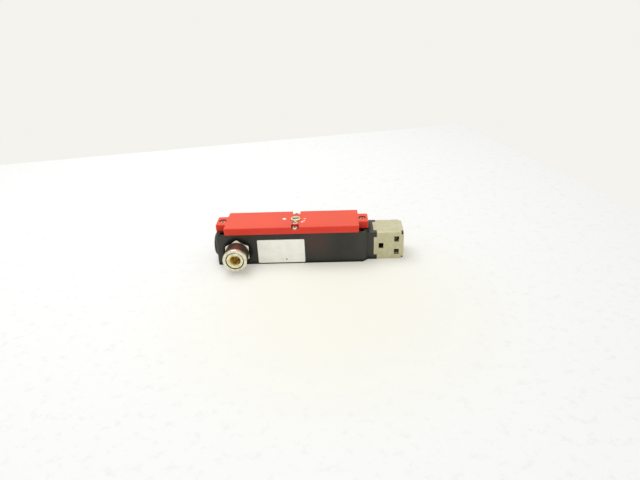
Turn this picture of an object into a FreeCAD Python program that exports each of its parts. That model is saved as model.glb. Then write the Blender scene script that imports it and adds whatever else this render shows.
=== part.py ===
import FreeCAD
import Part

import math
import os

from FreeCAD import Vector

# Tongue interlock switch with guard locking and an auxiliary release.
# Origin: centre of the four mounting holes, on the mounting face.
# +X points to the head, -Y to the side with the connector, +Z to the red cover.

os.makedirs("parts", exist_ok=True)

# Fits and gaps
run_fit = 0.05
seat_fit = 0.02
hole_fit = 0.1
free_gap = 0.4

# Housing
housing_width = 40.0
wall = 3.0
floor_thickness = 3.0
cover_step = 3.0
end_corner_radius = 2.0
end_chamfer = 5.0
mount_hole_radius = 2.65
mount_inset_x = 6.0
mount_inset_y = 5.0

# Lengths in a row from the left end of the housing to its right end
end_block = 12.0
wiring_zone = 20.0
yoke_length = 32.0
armature_spring_length = 8.0
link_thickness = 2.0
release_zone = 14.0
block_length = 32.0
plunger_spring_length = 8.7
flange_thickness = 1.6
neck_length = 6.0
stop_thickness = 1.9
stop_gap = 0.3
bush_flange_thickness = 1.5

# Head, its collar and lugs
head_size = 30.0
head_wall = 2.5
head_edge_radius = 0.8
collar_length = 6.0
lug_length = 3.0
lug_size = 5.25
head_screw_inset = 2.9
head_screw_radius = 1.25
head_screw_length = 34.4
head_screw_head_radius = 2.45
head_screw_head_height = 2.3
head_recess_depth = 2.6
tongue_hole_width = 4.9
tongue_hole_height = 5.9
tongue_side_offset = 7.8
tongue_pair_offset = 7.0
head_gasket_width = 1.6
head_gasket_thickness = 0.8
plunger_hole_radius = 3.6

# Control drum and its cam
drum_radius = 9.4
drum_half_height = 8.2
cam_half_height = 3.5
cam_hub_radius = 4.4
cam_angle = 75.0
cam_dwell_angle = 20.0
drum_axle_radius = 3.0
drum_boss_radius = 5.0
pocket_depth = 1.2

# Plunger
plunger_stroke = 5.0
plunger_radius = 3.0
plunger_neck_radius = 2.0
plunger_nose_radius = 1.2
plunger_nose_length = 1.8
plunger_cam_gap = 1.1
stop_radius = 5.0
flange_radius = 6.0
bush_radius = 5.0
bush_flange_radius = 6.5
plunger_seal_length = 3.5

# Lock lever, slider and solenoid
lock_travel = 3.5
lever_swing = 24.0
lever_hub_radius = 3.0
lever_pin_radius = 1.25
lever_back_gap = 2.8
lever_half_width = 2.0
lever_hub_half_width = 6.6
lever_arm_width = 5.2
nose_thickness = 2.4
nose_depth = 2.4
slider_half_height = 1.2
slider_half_width = 4.0
slider_pin_radius = 0.9
armature_radius = 3.6
coil_radius = 8.2
coil_flange_radius = 8.5
coil_flange_thickness = 1.2
bobbin_tube_wall = 1.0
yoke_wall = 2.5
yoke_half_width = 9.0
fixed_core_length = 5.8

# Mechanism frame
plate_thickness = 1.5
frame_half_width = 12.4
cheek_thickness = 1.5
frame_screw_radius = 1.5
frame_screw_head_radius = 2.5
frame_screw_head_height = 1.6
frame_screw_depth = 1.8

# Contact blocks
block_harness_gap = 1.0
block_wall = 2.0
block_side_wall = 1.9
bridge_thickness = 1.5
bridge_end_gap = 0.6
bridge_half_height = 2.0
contact_thickness = 1.6
guide_rib_width = 1.4
guide_rib_height = 1.6
contact_inner_y = 4.2
contact_leg_thickness = 1.2
chamber_floor = 2.5
bridge_setback = 4.5
block_clearance = 6.5
monitor_floor = 1.3
monitor_half_width = 2.2
monitor_room_left = 3.6
monitor_room_right = 3.0
monitor_pad = 3.0
monitor_bridge_thickness = 0.6
monitor_bridge_rise = 0.6
monitor_peg_radius = 1.5

# Springs
spring_wire_radius = 0.35

# Cover
slab_inset = 9.0
ear_width = 20.0
ear_overhang = 0.8
cover_wall = 2.8
cover_pocket_half_width = 12.0
cover_bevel = 0.6
cover_corner_radius = 1.2
notch_length = 8.0
notch_depth = 7.5
notch_floor = 3.8
notch_boss_height = 15.0
notch_boss_margin = 0.5
ear_screw_inset = 5.0
ear_recess_radius = 3.9
ear_seat = 4.2
side_screw_inset = 4.0
gasket_width = 1.2
gasket_thickness = 1.2
gasket_inset = 1.1
cover_screw_radius = 1.5
cover_screw_length = 10.0
cover_screw_head_radius = 2.9
cover_screw_head_height = 1.8

# Auxiliary release
release_inset = 5.6
release_disc_radius = 5.1
release_disc_thickness = 1.5
release_recess = 0.8
release_stem_radius = 3.05
release_slot_width = 1.9
release_slot_length = 6.2
release_slot_depth = 1.2
release_slot_angle = 8.0
release_crank_radius = 3.0
release_pin_radius = 0.9
release_pin_length = 1.4
release_pin_gap = 0.57
crank_disc_thickness = 0.6
clip_gap = 0.4
clip_thickness = 0.5
clip_play = 0.3
clip_width = 1.6
o_ring_section = 0.5
lock_screw_offset = 8.3
lock_screw_radius = 1.25
lock_screw_head_radius = 2.75
lock_screw_head_height = 1.4
lock_screw_length = 4.0
lock_screw_recess = 1.6
leaf_thickness = 0.4
leaf_width = 6.0
leaf_foot = 4.0

# Connector on the front face
connector_inset = 21.0
connector_rise = 0.2
connector_flats = 24.0
connector_corner_radius = 13.2
connector_base = 3.6
connector_length = 21.0
connector_barrel_radius = 11.7
connector_thread_depth = 0.2
connector_thread_pitch = 1.5
connector_ring_radius = 11.9
connector_ring_length = 3.4
connector_bore_radius = 8.9
connector_sleeve_radius = 8.5
connector_core_radius = 5.5
connector_cup_wall = 0.6
connector_cup_depth = 9.5
connector_neck_radius = 9.6
connector_neck_depth = 7.0
connector_boss_wall = 1.0
insert_tail = 2.0
connector_seal_thickness = 0.6
contact_pin_radius = 0.5
contact_pin_circle = 3.2
contact_pin_length = 6.5
wire_radius = 0.45

# Blind plug in the left end
plug_drop = 0.5
plug_thickness = 3.5
plug_seal_thickness = 0.8
plug_rim = 1.6
plug_thread_length = 9.5
plug_slot_width = 2.5
plug_slot_length = 14.0
plug_slot_depth = 1.5

# Type label
label_start = 41.2
label_length = 47.3
label_bottom = 1.3
label_height = 25.6
label_thickness = 0.2
label_corner_radius = 1.2

# Wiring board
board_thickness = 1.6
board_length = 15.0
board_back_gap = 1.0
board_edge_gap = 9.0
board_drop = 7.0
post_radius = 2.2
post_hole_radius = 1.0
post_margin = 0.5
board_end_gap = 0.8
board_screw_length = 5.0
board_screw_head_radius = 1.6
board_screw_head_height = 1.1
header_length = 14.4
header_width = 4.0
header_height = 4.0
header_setback = 3.5
wire_pitch = 2.0
harness_radius = 1.5
harness_bend = 2.4
harness_inset = 4.0
harness_z = 8.0
harness_entry = 8.0
lead_radius = 0.5

# Stations along X
housing_length = (end_block + wiring_zone + yoke_length + armature_spring_length + link_thickness
                  + release_zone + block_length + plunger_spring_length + flange_thickness + neck_length
                  + stop_thickness + stop_gap + bush_flange_thickness + end_block)
x_right = housing_length / 2
x_left = -x_right
cavity_x0 = x_left + end_block
cavity_x1 = x_right - end_block
yoke_x0 = cavity_x0 + wiring_zone
yoke_x1 = yoke_x0 + yoke_length
link_x0 = yoke_x1 + armature_spring_length
link_x1 = link_x0 + link_thickness
block_x0 = link_x1 + release_zone
block_x1 = block_x0 + block_length
flange_x0 = block_x1 + plunger_spring_length
flange_x1 = flange_x0 + flange_thickness
stop_x0 = flange_x1 + neck_length
stop_x1 = stop_x0 + stop_thickness
bush_x0 = stop_x1 + stop_gap
head_x0 = x_right + collar_length
head_x1 = head_x0 + head_size
drum_x = head_x0 + head_size / 2
release_x = link_x1 + release_inset
connector_x = x_left + connector_inset
board_x0 = cavity_x0 + board_end_gap
board_x1 = board_x0 + board_length

# Stations across
half_width = housing_width / 2
cavity_y = half_width - wall
half_head = head_size / 2
front_y = -half_width
board_edge_y = front_y + connector_neck_depth + insert_tail + board_edge_gap
board_width = cavity_y - board_edge_y - board_back_gap
harness_y = cavity_y - harness_inset
block_half_width = harness_y - harness_radius - block_harness_gap
bridge_half_length = block_half_width - block_side_wall - bridge_end_gap
side_screw_y = half_width - side_screw_inset
notch_inner_y = half_width - notch_depth

# Heights
axis_z = head_size / 2
housing_height = head_size + cover_step
connector_z = axis_z + connector_rise
plug_z = axis_z - plug_drop
plug_radius = plug_z - floor_thickness
plug_thread_radius = plug_radius - plug_rim
board_z = housing_height - board_drop
frame_z1 = floor_thickness + plate_thickness
lever_z = axis_z + flange_radius + lever_hub_radius
half_swing = math.radians(lever_swing / 2)
lever_arm = lock_travel / (2 * math.sin(half_swing))
slider_pin_z = lever_z + lever_arm * math.cos(half_swing)
slider_z0 = slider_pin_z - slider_half_height
slider_z1 = slider_pin_z + slider_half_height
crank_pin_z0 = slider_z1 + release_pin_gap
crank_pin_z1 = crank_pin_z0 + release_pin_length
crank_z1 = crank_pin_z1 + crank_disc_thickness
clip_z0 = crank_z1 + clip_gap
clip_z1 = clip_z0 + clip_thickness
pocket_z = clip_z1 + clip_play
cover_z1 = pocket_z + cover_wall
solenoid_z = frame_z1 + yoke_wall + coil_flange_radius + free_gap
lever_x = cavity_x1 - lever_back_gap - lever_hub_radius
nose_x0 = flange_x1 - plunger_stroke + free_gap
nose_x1 = nose_x0 + nose_thickness

X = Vector(1, 0, 0)
Y = Vector(0, 1, 0)
Z = Vector(0, 0, 1)
ends = (-1, 1)


def box(x0, x1, y0, y1, z0, z1):
    """A block between two corners."""
    return Part.makeBox(x1 - x0, y1 - y0, z1 - z0, Vector(x0, y0, z0))


def rod(start, direction, radius, length):
    """A round bar that starts at a point and runs along a direction."""
    return Part.makeCylinder(radius, length, start, direction)


def ring(start, direction, outer, inner, length):
    """A flat or long ring."""
    return rod(start, direction, outer, length).cut(rod(start, direction, inner, length))


def turned(profile, origin, direction):
    """A turned piece: an outline of (distance along, radius) points, spun about its axis."""
    points = [Vector(radius, 0, along) for along, radius in profile]
    outline = Part.Face(Part.makePolygon(points + points[:1]))
    solid = outline.revolve(Vector(), Z, 360)
    if solid.Volume < 0:
        solid.reverse()
    solid.Placement = FreeCAD.Placement(origin, FreeCAD.Rotation(Z, direction))
    return solid


def joined(shapes):
    """Several overlapping or touching shapes as one solid."""
    return shapes[0].fuse(shapes[1:]).removeSplitter()


def lines_along(shape, direction, keep):
    """The straight edges along a direction whose middle passes a test."""
    found = []
    for edge in shape.Edges:
        if edge.Curve.TypeId != "Part::GeomLine":
            continue
        if edge.tangentAt(edge.FirstParameter).cross(direction).Length > 1e-6:
            continue
        if keep(edge.CenterOfMass):
            found.append(edge)
    return found


def prism(corners, z0, height):
    """A block with the plan of a polygon."""
    points = [Vector(x, y, z0) for x, y in corners]
    return Part.Face(Part.makePolygon(points + points[:1])).extrude(Z * height)


def hexagon(centre, flats):
    """Corners of a hexagon with one corner at +Y."""
    radius = flats / math.sqrt(3)
    angles = [math.radians(90 + 60 * i) for i in range(6)]
    return [(centre[0] + radius * math.cos(a), centre[1] + radius * math.sin(a)) for a in angles]


def cross_screw(head_point, direction, head_radius, head_height, shank_radius, shank_length):
    """A pan-head screw with a cross recess. The head point is the underside of the head."""
    crown = head_height * 0.35
    profile = [(-head_height, 0), (-head_height, head_radius - crown), (-head_height + crown, head_radius),
               (0, head_radius), (0, shank_radius), (shank_length - shank_radius / 2, shank_radius),
               (shank_length, shank_radius / 2), (shank_length, 0)]
    screw = turned(profile, Vector(), Z)
    arm = head_radius * 0.62
    slot = head_radius * 0.19
    deep = head_height * 0.6
    screw = screw.cut(box(-arm, arm, -slot, slot, -head_height, -head_height + deep))
    screw = screw.cut(box(-slot, slot, -arm, arm, -head_height, -head_height + deep))
    screw.Placement = FreeCAD.Placement(head_point, FreeCAD.Rotation(Z, direction))
    return screw


def coil_spring(start, direction, length, mean_radius, turns):
    """A wire spring between two seats."""
    height = length - 2 * spring_wire_radius - 2 * hole_fit
    helix = Part.makeHelix(height / turns, height, mean_radius)
    section = Part.Circle(Vector(mean_radius, 0, 0), Y, spring_wire_radius).toShape()
    spring = Part.Wire(helix.Edges).makePipeShell([Part.Wire(section)], True, True)
    spring.translate(Z * (spring_wire_radius + hole_fit))
    spring.Placement = FreeCAD.Placement(start, FreeCAD.Rotation(Z, direction)).multiply(spring.Placement)
    return spring


def route_tube(points, bend, radius):
    """A round wire along straight runs joined by tangent arcs."""
    edges = []
    start = points[0]
    for before, corner, after in zip(points, points[1:], points[2:]):
        into = (corner - before).normalize()
        out = (after - corner).normalize()
        half_turn = into.getAngle(out) / 2
        setback = bend * math.tan(half_turn)
        arc_start = corner - into * setback
        arc_end = corner + out * setback
        centre_way = (out - into).normalize()
        middle = corner + centre_way * (bend / math.cos(half_turn) - bend)
        edges.append(Part.LineSegment(start, arc_start).toShape())
        edges.append(Part.Arc(arc_start, middle, arc_end).toShape())
        start = arc_end
    edges.append(Part.LineSegment(start, points[-1]).toShape())
    first = (points[1] - points[0]).normalize()
    section = Part.Wire(Part.Circle(points[0], first, radius).toShape())
    return Part.Wire(edges).makePipeShell([section], True, True)


def mount_points():
    """Plan positions of the four mounting holes."""
    x = x_right - mount_inset_x
    y = half_width - mount_inset_y
    return [(sx * x, sy * y) for sx in ends for sy in ends]


def cover_screw_seats():
    """Undersides of the heads of the four cover screws."""
    ear_x = x_right - ear_screw_inset
    ears = [Vector(side * ear_x, 0, housing_height + ear_seat) for side in ends]
    notches = [Vector(release_x, side * side_screw_y, housing_height + notch_floor) for side in ends]
    return ears + notches


def head_screw_axes():
    """Positions across the head of its four long screws."""
    offset = half_head - head_screw_inset
    return [(sy * offset, axis_z + sz * offset) for sy in ends for sz in ends]


def board_posts():
    """Plan positions of the four posts under the wiring board."""
    x0 = board_x0 + post_radius + post_margin
    x1 = board_x1 - post_radius - post_margin
    y0 = board_edge_y + header_setback - board_screw_head_radius - hole_fit
    y1 = board_edge_y + board_width - post_radius - post_margin
    return [(x0, y0), (x1, y0), (x0, y1)]


def frame_screw_points():
    """Plan positions of the four screws of the mechanism frame."""
    left_x = yoke_x0 - frame_screw_head_radius - free_gap
    right_x = block_x0 - frame_screw_head_radius - 3 * free_gap
    y = frame_half_width - frame_screw_head_radius - 0.9
    return [(x, side * y) for x in (left_x, right_x) for side in ends]


def housing():
    """Die-cast box with solid ends, screw bosses, board posts, and the collar with lugs for the head."""
    inset = half_width - half_head
    plan = [(x_left, -half_width), (x_right - end_chamfer, -half_width), (x_right, -half_width + inset),
            (x_right, half_width - inset), (x_right - end_chamfer, half_width), (x_left, half_width)]
    body = prism(plan, 0, housing_height)
    body = body.makeFillet(end_corner_radius, lines_along(body, Z, lambda c: c.x < x_left + 1))
    room = box(cavity_x0, cavity_x1, -cavity_y, cavity_y, floor_thickness, housing_height + 1)
    room = room.makeFillet(end_corner_radius, lines_along(room, Z, lambda c: True))
    body = body.cut(room)
    adds = [box(x_right - 1, head_x0, -half_head, half_head, 0, head_size)]
    for sy in ends:
        for sz in ends:
            y0, y1 = sorted((sy * half_head, sy * (half_head - lug_size)))
            z0, z1 = sorted((axis_z + sz * half_head, axis_z + sz * (half_head - lug_size)))
            adds.append(box(head_x0 - 1, head_x0 + lug_length, y0, y1, z0, z1))
        y0, y1 = sorted((sy * (notch_inner_y + 0.3), sy * (cavity_y + 1)))
        boss_half = notch_length / 2 + notch_boss_margin
        adds.append(box(release_x - boss_half, release_x + boss_half, y0, y1,
                        housing_height - notch_boss_height, housing_height))
    boss_x1 = connector_x + connector_neck_radius + connector_boss_wall
    boss_z1 = connector_z + connector_neck_radius + 2 * connector_boss_wall
    adds.append(box(cavity_x0 - 1, boss_x1, front_y + 1, front_y + connector_neck_depth, 1, boss_z1))
    for x, y in board_posts():
        adds.append(rod(Vector(x, y, 1), Z, post_radius, board_z - 1))
    body = joined([body] + adds)
    holes = [rod(Vector(x, y, -1), Z, mount_hole_radius, housing_height + 2) for x, y in mount_points()]
    for seat in cover_screw_seats():
        low = seat.z - cover_screw_length - 1
        deep = housing_height + 1 - low
        holes.append(rod(Vector(seat.x, seat.y, low), Z, cover_screw_radius + seat_fit, deep))
    for y, z in head_screw_axes():
        start = head_x1 - head_recess_depth - head_screw_length - 0.3
        holes.append(rod(Vector(start, y, z), X, head_screw_radius + seat_fit, head_screw_length))
    for x, y in board_posts():
        low = board_z - board_screw_length
        holes.append(rod(Vector(x, y, low), Z, post_hole_radius, board_screw_length + 1))
    for x, y in frame_screw_points():
        low = frame_z1 - plate_thickness - frame_screw_depth
        holes.append(rod(Vector(x, y, low), Z, frame_screw_radius + seat_fit, frame_screw_depth + 1))
    neck_hole = connector_neck_radius + seat_fit
    neck_start = Vector(connector_x, front_y - 1, connector_z)
    holes.append(rod(neck_start, Y, neck_hole, connector_neck_depth + 2))
    holes.append(rod(Vector(x_left - 1, 0, plug_z), X, plug_thread_radius + seat_fit, end_block + 2))
    bush_start = Vector(cavity_x1 - 1, 0, axis_z)
    holes.append(rod(bush_start, X, bush_radius + seat_fit, end_block + collar_length + 2))
    return body.cut(Part.makeCompound(holes))


def cover():
    """Red lid: a slab with two screw ears, side notches, a pocket underneath and the release seat."""
    slab_x = x_right - slab_inset
    slab = box(-slab_x, slab_x, -half_width, half_width, housing_height, cover_z1)
    ears = box(x_left - ear_overhang, x_right + ear_overhang, -ear_width / 2, ear_width / 2,
               housing_height, cover_z1)
    body = joined([slab, ears])
    body = body.makeFillet(cover_corner_radius, lines_along(body, Z, lambda c: True))
    rim = [f for f in body.Faces if f.BoundBox.ZMin > cover_z1 - 0.01]
    body = body.makeChamfer(cover_bevel, rim[0].OuterWire.Edges)
    cuts = [box(cavity_x0 + 1, cavity_x1 - 1, -cover_pocket_half_width, cover_pocket_half_width,
                housing_height - 1, pocket_z)]
    floor_z = housing_height + notch_floor
    for side in ends:
        y0, y1 = sorted((side * notch_inner_y, side * (half_width + 1)))
        half = notch_length / 2
        cuts.append(box(release_x - half, release_x + half, y0, y1, floor_z, cover_z1 + 1))
    for seat in cover_screw_seats():
        cuts.append(rod(Vector(seat.x, seat.y, housing_height - 1), Z, cover_screw_radius + hole_fit, 10))
        if seat.y == 0:
            cuts.append(rod(seat, Z, ear_recess_radius, 10))
    release_axis = Vector(release_x, 0, housing_height)
    cuts.append(rod(release_axis, Z, release_stem_radius + run_fit, 20))
    disc_seat = Vector(release_x, 0, cover_z1 - release_recess)
    cuts.append(rod(disc_seat, Z, release_disc_radius + free_gap, 5))
    screw_seat = Vector(release_x, -lock_screw_offset, cover_z1 - lock_screw_recess)
    cuts.append(rod(screw_seat, Z, lock_screw_head_radius + free_gap, 5))
    cuts.append(rod(screw_seat - Z * 8, Z, lock_screw_radius + hole_fit, 20))
    cuts.append(gasket_shape(hole_fit))
    return body.cut(Part.makeCompound(cuts))


def gasket_shape(extra):
    """Rectangular sealing ring near the edge of the cover, or its groove when made larger."""
    slab_x = x_right - slab_inset
    outer_x = slab_x - gasket_inset + extra
    outer_y = half_width - gasket_inset / 2 + extra
    inner_x = outer_x - gasket_width - 2 * extra
    inner_y = outer_y - gasket_width - 2 * extra
    top = housing_height + gasket_thickness + extra
    outer = box(-outer_x, outer_x, -outer_y, outer_y, housing_height, top)
    return outer.cut(box(-inner_x, inner_x, -inner_y, inner_y, housing_height - 1, top + 1))


def cover_screws():
    """Four pan-head screws that hold the cover."""
    screws = []
    for seat in cover_screw_seats():
        screws.append(cross_screw(seat, -Z, cover_screw_head_radius, cover_screw_head_height,
                                  cover_screw_radius, cover_screw_length))
    return Part.makeCompound(screws)


def release_spindle():
    """Slotted disc on its stem, with an O-ring groove, a clip groove and an off-centre pin below."""
    axis = Vector(release_x, 0, 0)
    disc_z = cover_z1 - release_recess + clip_play
    disc = rod(axis + Z * disc_z, Z, release_disc_radius, release_disc_thickness)
    rim = [e for e in disc.Edges if e.BoundBox.ZMin > disc_z + 0.5 and len(e.Vertexes) == 1]
    disc = disc.makeChamfer(0.3, rim)
    stem = rod(axis + Z * crank_pin_z1, Z, release_stem_radius, disc_z - crank_pin_z1)
    crank = rod(axis + Z * crank_pin_z1, Z, release_crank_radius + release_pin_radius, crank_disc_thickness)
    pin_place = axis - X * release_crank_radius + Z * crank_pin_z0
    pin = rod(pin_place, Z, release_pin_radius, release_pin_length + crank_disc_thickness)
    spindle = joined([disc, stem, crank, pin])
    groove_z = o_ring_height() - o_ring_section - hole_fit
    groove_inner = release_stem_radius - 2 * o_ring_section - seat_fit
    groove = ring(axis + Z * groove_z, Z, release_stem_radius + 1, groove_inner,
                  2 * (o_ring_section + hole_fit))
    clip_groove = ring(axis + Z * (clip_z0 - seat_fit), Z, release_stem_radius + 1,
                       clip_bore() - seat_fit, clip_thickness + 2 * seat_fit)
    top = disc_z + release_disc_thickness
    slot = box(-release_slot_length / 2, release_slot_length / 2, -release_slot_width / 2,
               release_slot_width / 2, top - release_slot_depth, top + 1)
    slot.rotate(Vector(), Z, release_slot_angle)
    slot.translate(axis)
    mark = box(release_disc_radius - 1.6, release_disc_radius + 1, -0.5, 0.5, top - 0.5, top + 1)
    mark.rotate(Vector(), Z, release_slot_angle)
    mark.translate(axis)
    return spindle.cut(Part.makeCompound([groove, clip_groove, slot, mark]))


def o_ring_height():
    """Height of the O-ring in the cover wall."""
    return pocket_z + cover_wall / 2


def clip_bore():
    """Inner radius of the retaining clip."""
    return release_stem_radius - 0.7


def release_o_ring():
    """O-ring round the release stem."""
    place = Vector(release_x, 0, o_ring_height())
    return Part.makeTorus(release_stem_radius - o_ring_section, o_ring_section, place, Z)


def release_clip():
    """Open retaining clip in the stem's groove, under the cover."""
    axis = Vector(release_x, 0, clip_z0)
    clip = ring(axis, Z, clip_bore() + clip_width, clip_bore(), clip_thickness)
    gap = box(release_x, release_x + 6, -1.2, 1.2, clip_z0 - 1, clip_z1 + 1)
    return clip.cut(gap)


def release_lock_screw():
    """Small screw beside the release that secures it."""
    seat = Vector(release_x, -lock_screw_offset, cover_z1 - lock_screw_recess)
    return cross_screw(seat, -Z, lock_screw_head_radius, lock_screw_head_height,
                       lock_screw_radius, lock_screw_length)


def type_label():
    """Thin plate on the front face."""
    x0 = x_left + label_start
    plate = box(x0, x0 + label_length, front_y - label_thickness, front_y, label_bottom,
                label_bottom + label_height)
    return plate.makeFillet(label_corner_radius, lines_along(plate, Y, lambda c: True))


def blind_plug():
    """Threaded plug with a coin slot in the left end."""
    seat_x = x_left - plug_seal_thickness
    face = plug_thickness
    profile = [(-plug_thread_length, 0), (-plug_thread_length, plug_thread_radius - 1),
               (1 - plug_thread_length, plug_thread_radius), (0, plug_thread_radius), (0, plug_radius),
               (face - 1, plug_radius), (face, plug_radius - 1), (face, 0)]
    plug = turned(profile, Vector(seat_x, 0, plug_z), -X)
    tip = seat_x - face
    half = plug_slot_length / 2
    slot = box(tip - 1, tip + plug_slot_depth, -half, half, plug_z - plug_slot_width / 2,
               plug_z + plug_slot_width / 2)
    return plug.cut(slot)


def blind_plug_seal():
    """Flat seal under the plug."""
    start = Vector(x_left - plug_seal_thickness, 0, plug_z)
    return ring(start, X, plug_radius - 0.3, plug_thread_radius + seat_fit, plug_seal_thickness)


def connector_point(depth):
    """Point on the connector's axis, at a distance out from the housing."""
    return Vector(connector_x, front_y - depth, connector_z)


def connector_shell():
    """Receptacle body: hexagonal base, threaded barrel, front ring, and the neck in the housing wall."""
    base_start = connector_seal_thickness
    base_end = base_start + connector_base
    hexagon_face = prism(hexagon((0, 0), connector_flats), base_start, connector_base)
    chamfer = connector_corner_radius - connector_flats / 2
    round_base = turned([(base_start, 0), (base_start, connector_corner_radius),
                         (base_end - chamfer, connector_corner_radius), (base_end, connector_flats / 2),
                         (base_end, 0)], Vector(), Z)
    base = hexagon_face.common(round_base)
    barrel = [(base_end - 0.5, 0), (base_end - 0.5, connector_barrel_radius - connector_thread_depth)]
    thread_end = connector_length - connector_ring_length - connector_thread_pitch
    ridges = int((thread_end - base_end - 1) / connector_thread_pitch)
    root = connector_barrel_radius - connector_thread_depth
    for i in range(ridges):
        start = base_end + 1 + i * connector_thread_pitch
        barrel += [(start, root), (start + connector_thread_pitch * 0.4, connector_barrel_radius),
                   (start + connector_thread_pitch * 0.6, connector_barrel_radius)]
    ring_start = connector_length - connector_ring_length
    barrel += [(ring_start - 0.8, root), (ring_start, connector_ring_radius),
               (connector_length - 0.6, connector_ring_radius), (connector_length, connector_ring_radius - 0.6),
               (connector_length, 0)]
    body = joined([base, turned(barrel, Vector(), Z),
                   rod(Z * -connector_neck_depth, Z, connector_neck_radius, connector_neck_depth + 1)])
    seat = sleeve_seat_depth()
    body = body.cut(rod(Z * seat, Z, connector_bore_radius, connector_length))
    core_start = Z * (-connector_neck_depth - 1)
    body = body.cut(rod(core_start, Z, connector_core_radius + seat_fit, 3 * connector_length))
    body.Placement = FreeCAD.Placement(connector_point(0), FreeCAD.Rotation(X, 90))
    return body


def sleeve_seat_depth():
    """Distance out from the housing of the shoulder that the inner sleeve sits on."""
    return connector_base + connector_seal_thickness + 0.5


def connector_seal():
    """Flat seal between the connector's base and the housing."""
    start = connector_point(connector_seal_thickness)
    outer = connector_flats / 2 - 0.4
    return ring(start, Y, outer, connector_neck_radius + seat_fit, connector_seal_thickness)


def connector_sleeve():
    """Bright inner ring round the insulator, with a flange at its back."""
    front = connector_length - 0.5 - sleeve_seat_depth()
    inner = connector_core_radius + seat_fit
    edge = connector_sleeve_radius
    flange = connector_bore_radius - seat_fit
    profile = [(0, inner), (0, flange), (2, flange), (2, edge), (front - 0.4, edge), (front, edge - 0.4),
               (front, inner + 0.3), (front - 0.3, inner)]
    return turned(profile, connector_point(sleeve_seat_depth()), -Y)


def cup_floor_depth():
    """Distance out from the housing of the insulator's face inside its cup."""
    return connector_length - 1 - connector_cup_depth


def contact_places():
    """The centre contact and six contacts on a circle, as offsets along X and Z."""
    places = [(0.0, 0.0)]
    for i in range(6):
        angle = math.radians(30 + 60 * i)
        places.append((contact_pin_circle * math.cos(angle), contact_pin_circle * math.sin(angle)))
    return places


def connector_insert():
    """Amber insulator, cup-shaped towards the front, that carries the contacts."""
    back = -connector_neck_depth - insert_tail
    core = rod(connector_point(back), -Y, connector_core_radius, connector_length - 1 - back)
    hollow_radius = connector_core_radius - connector_cup_wall
    hollow = rod(connector_point(cup_floor_depth()), -Y, hollow_radius, connector_cup_depth + 5)
    length = cup_floor_depth() - back + 2
    holes = []
    for dx, dz in contact_places():
        start = connector_point(back - 1) + Vector(dx, 0, dz)
        holes.append(rod(start, -Y, contact_pin_radius + seat_fit, length))
    return core.cut(Part.makeCompound([hollow] + holes))


def connector_pins():
    """Seven gold contact pins with rounded tips."""
    back = -connector_neck_depth - insert_tail
    length = cup_floor_depth() - back + contact_pin_length
    pins = []
    for dx, dz in contact_places():
        start = connector_point(back) + Vector(dx, 0, dz)
        pin = rod(start, -Y, contact_pin_radius, length)
        cup_y = front_y - cup_floor_depth()
        tip = [e for e in pin.Edges if len(e.Vertexes) == 1 and e.CenterOfMass.y < cup_y]
        pins.append(pin.makeFillet(contact_pin_radius * 0.8, tip))
    return Part.makeCompound(pins)


def connector_wires():
    """Seven wires from the contacts up to the header on the wiring board."""
    back = -connector_neck_depth - insert_tail
    wires = []
    places = contact_places()
    enter_y = board_edge_y + header_setback
    enter_z = board_z + board_thickness + header_height / 2
    by_height = sorted(set(round(dz, 3) for dx, dz in places))
    ranked = sorted(range(len(places)), key=lambda i: (places[i][0], -places[i][1]))
    for slot, index in enumerate(ranked):
        dx, dz = places[index]
        start = connector_point(back) + Vector(dx, 0, dz)
        level = by_height.index(round(dz, 3))
        turn_y = board_edge_y - 1.4 - 1.3 * level
        top_x = connector_x + wire_pitch * (slot - (len(places) - 1) / 2)
        points = [start, Vector(start.x, turn_y, start.z), Vector(top_x, turn_y, enter_z),
                  Vector(top_x, enter_y, enter_z)]
        wires.append(route_tube(points, 1.0, wire_radius))
    return Part.makeCompound(wires)


def tongue_holes(direction):
    """The three tongue openings of one head face, as cutters that run in along -X or +Y."""
    half_w = tongue_hole_width / 2
    half_h = tongue_hole_height / 2
    holes = []
    for side, heights in ((-1, (0,)), (1, (-tongue_pair_offset, tongue_pair_offset))):
        for dz in heights:
            c = side * tongue_side_offset
            z0 = axis_z + dz - half_h
            if direction == "front":
                holes.append(box(drum_x + c - half_w, drum_x + c + half_w, -half_head - 1,
                                 -half_head + head_wall + 1, z0, z0 + tongue_hole_height))
            else:
                holes.append(box(head_x1 - head_wall - 1, head_x1 + 1, c - half_w, c + half_w,
                                 z0, z0 + tongue_hole_height))
    return holes


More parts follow.
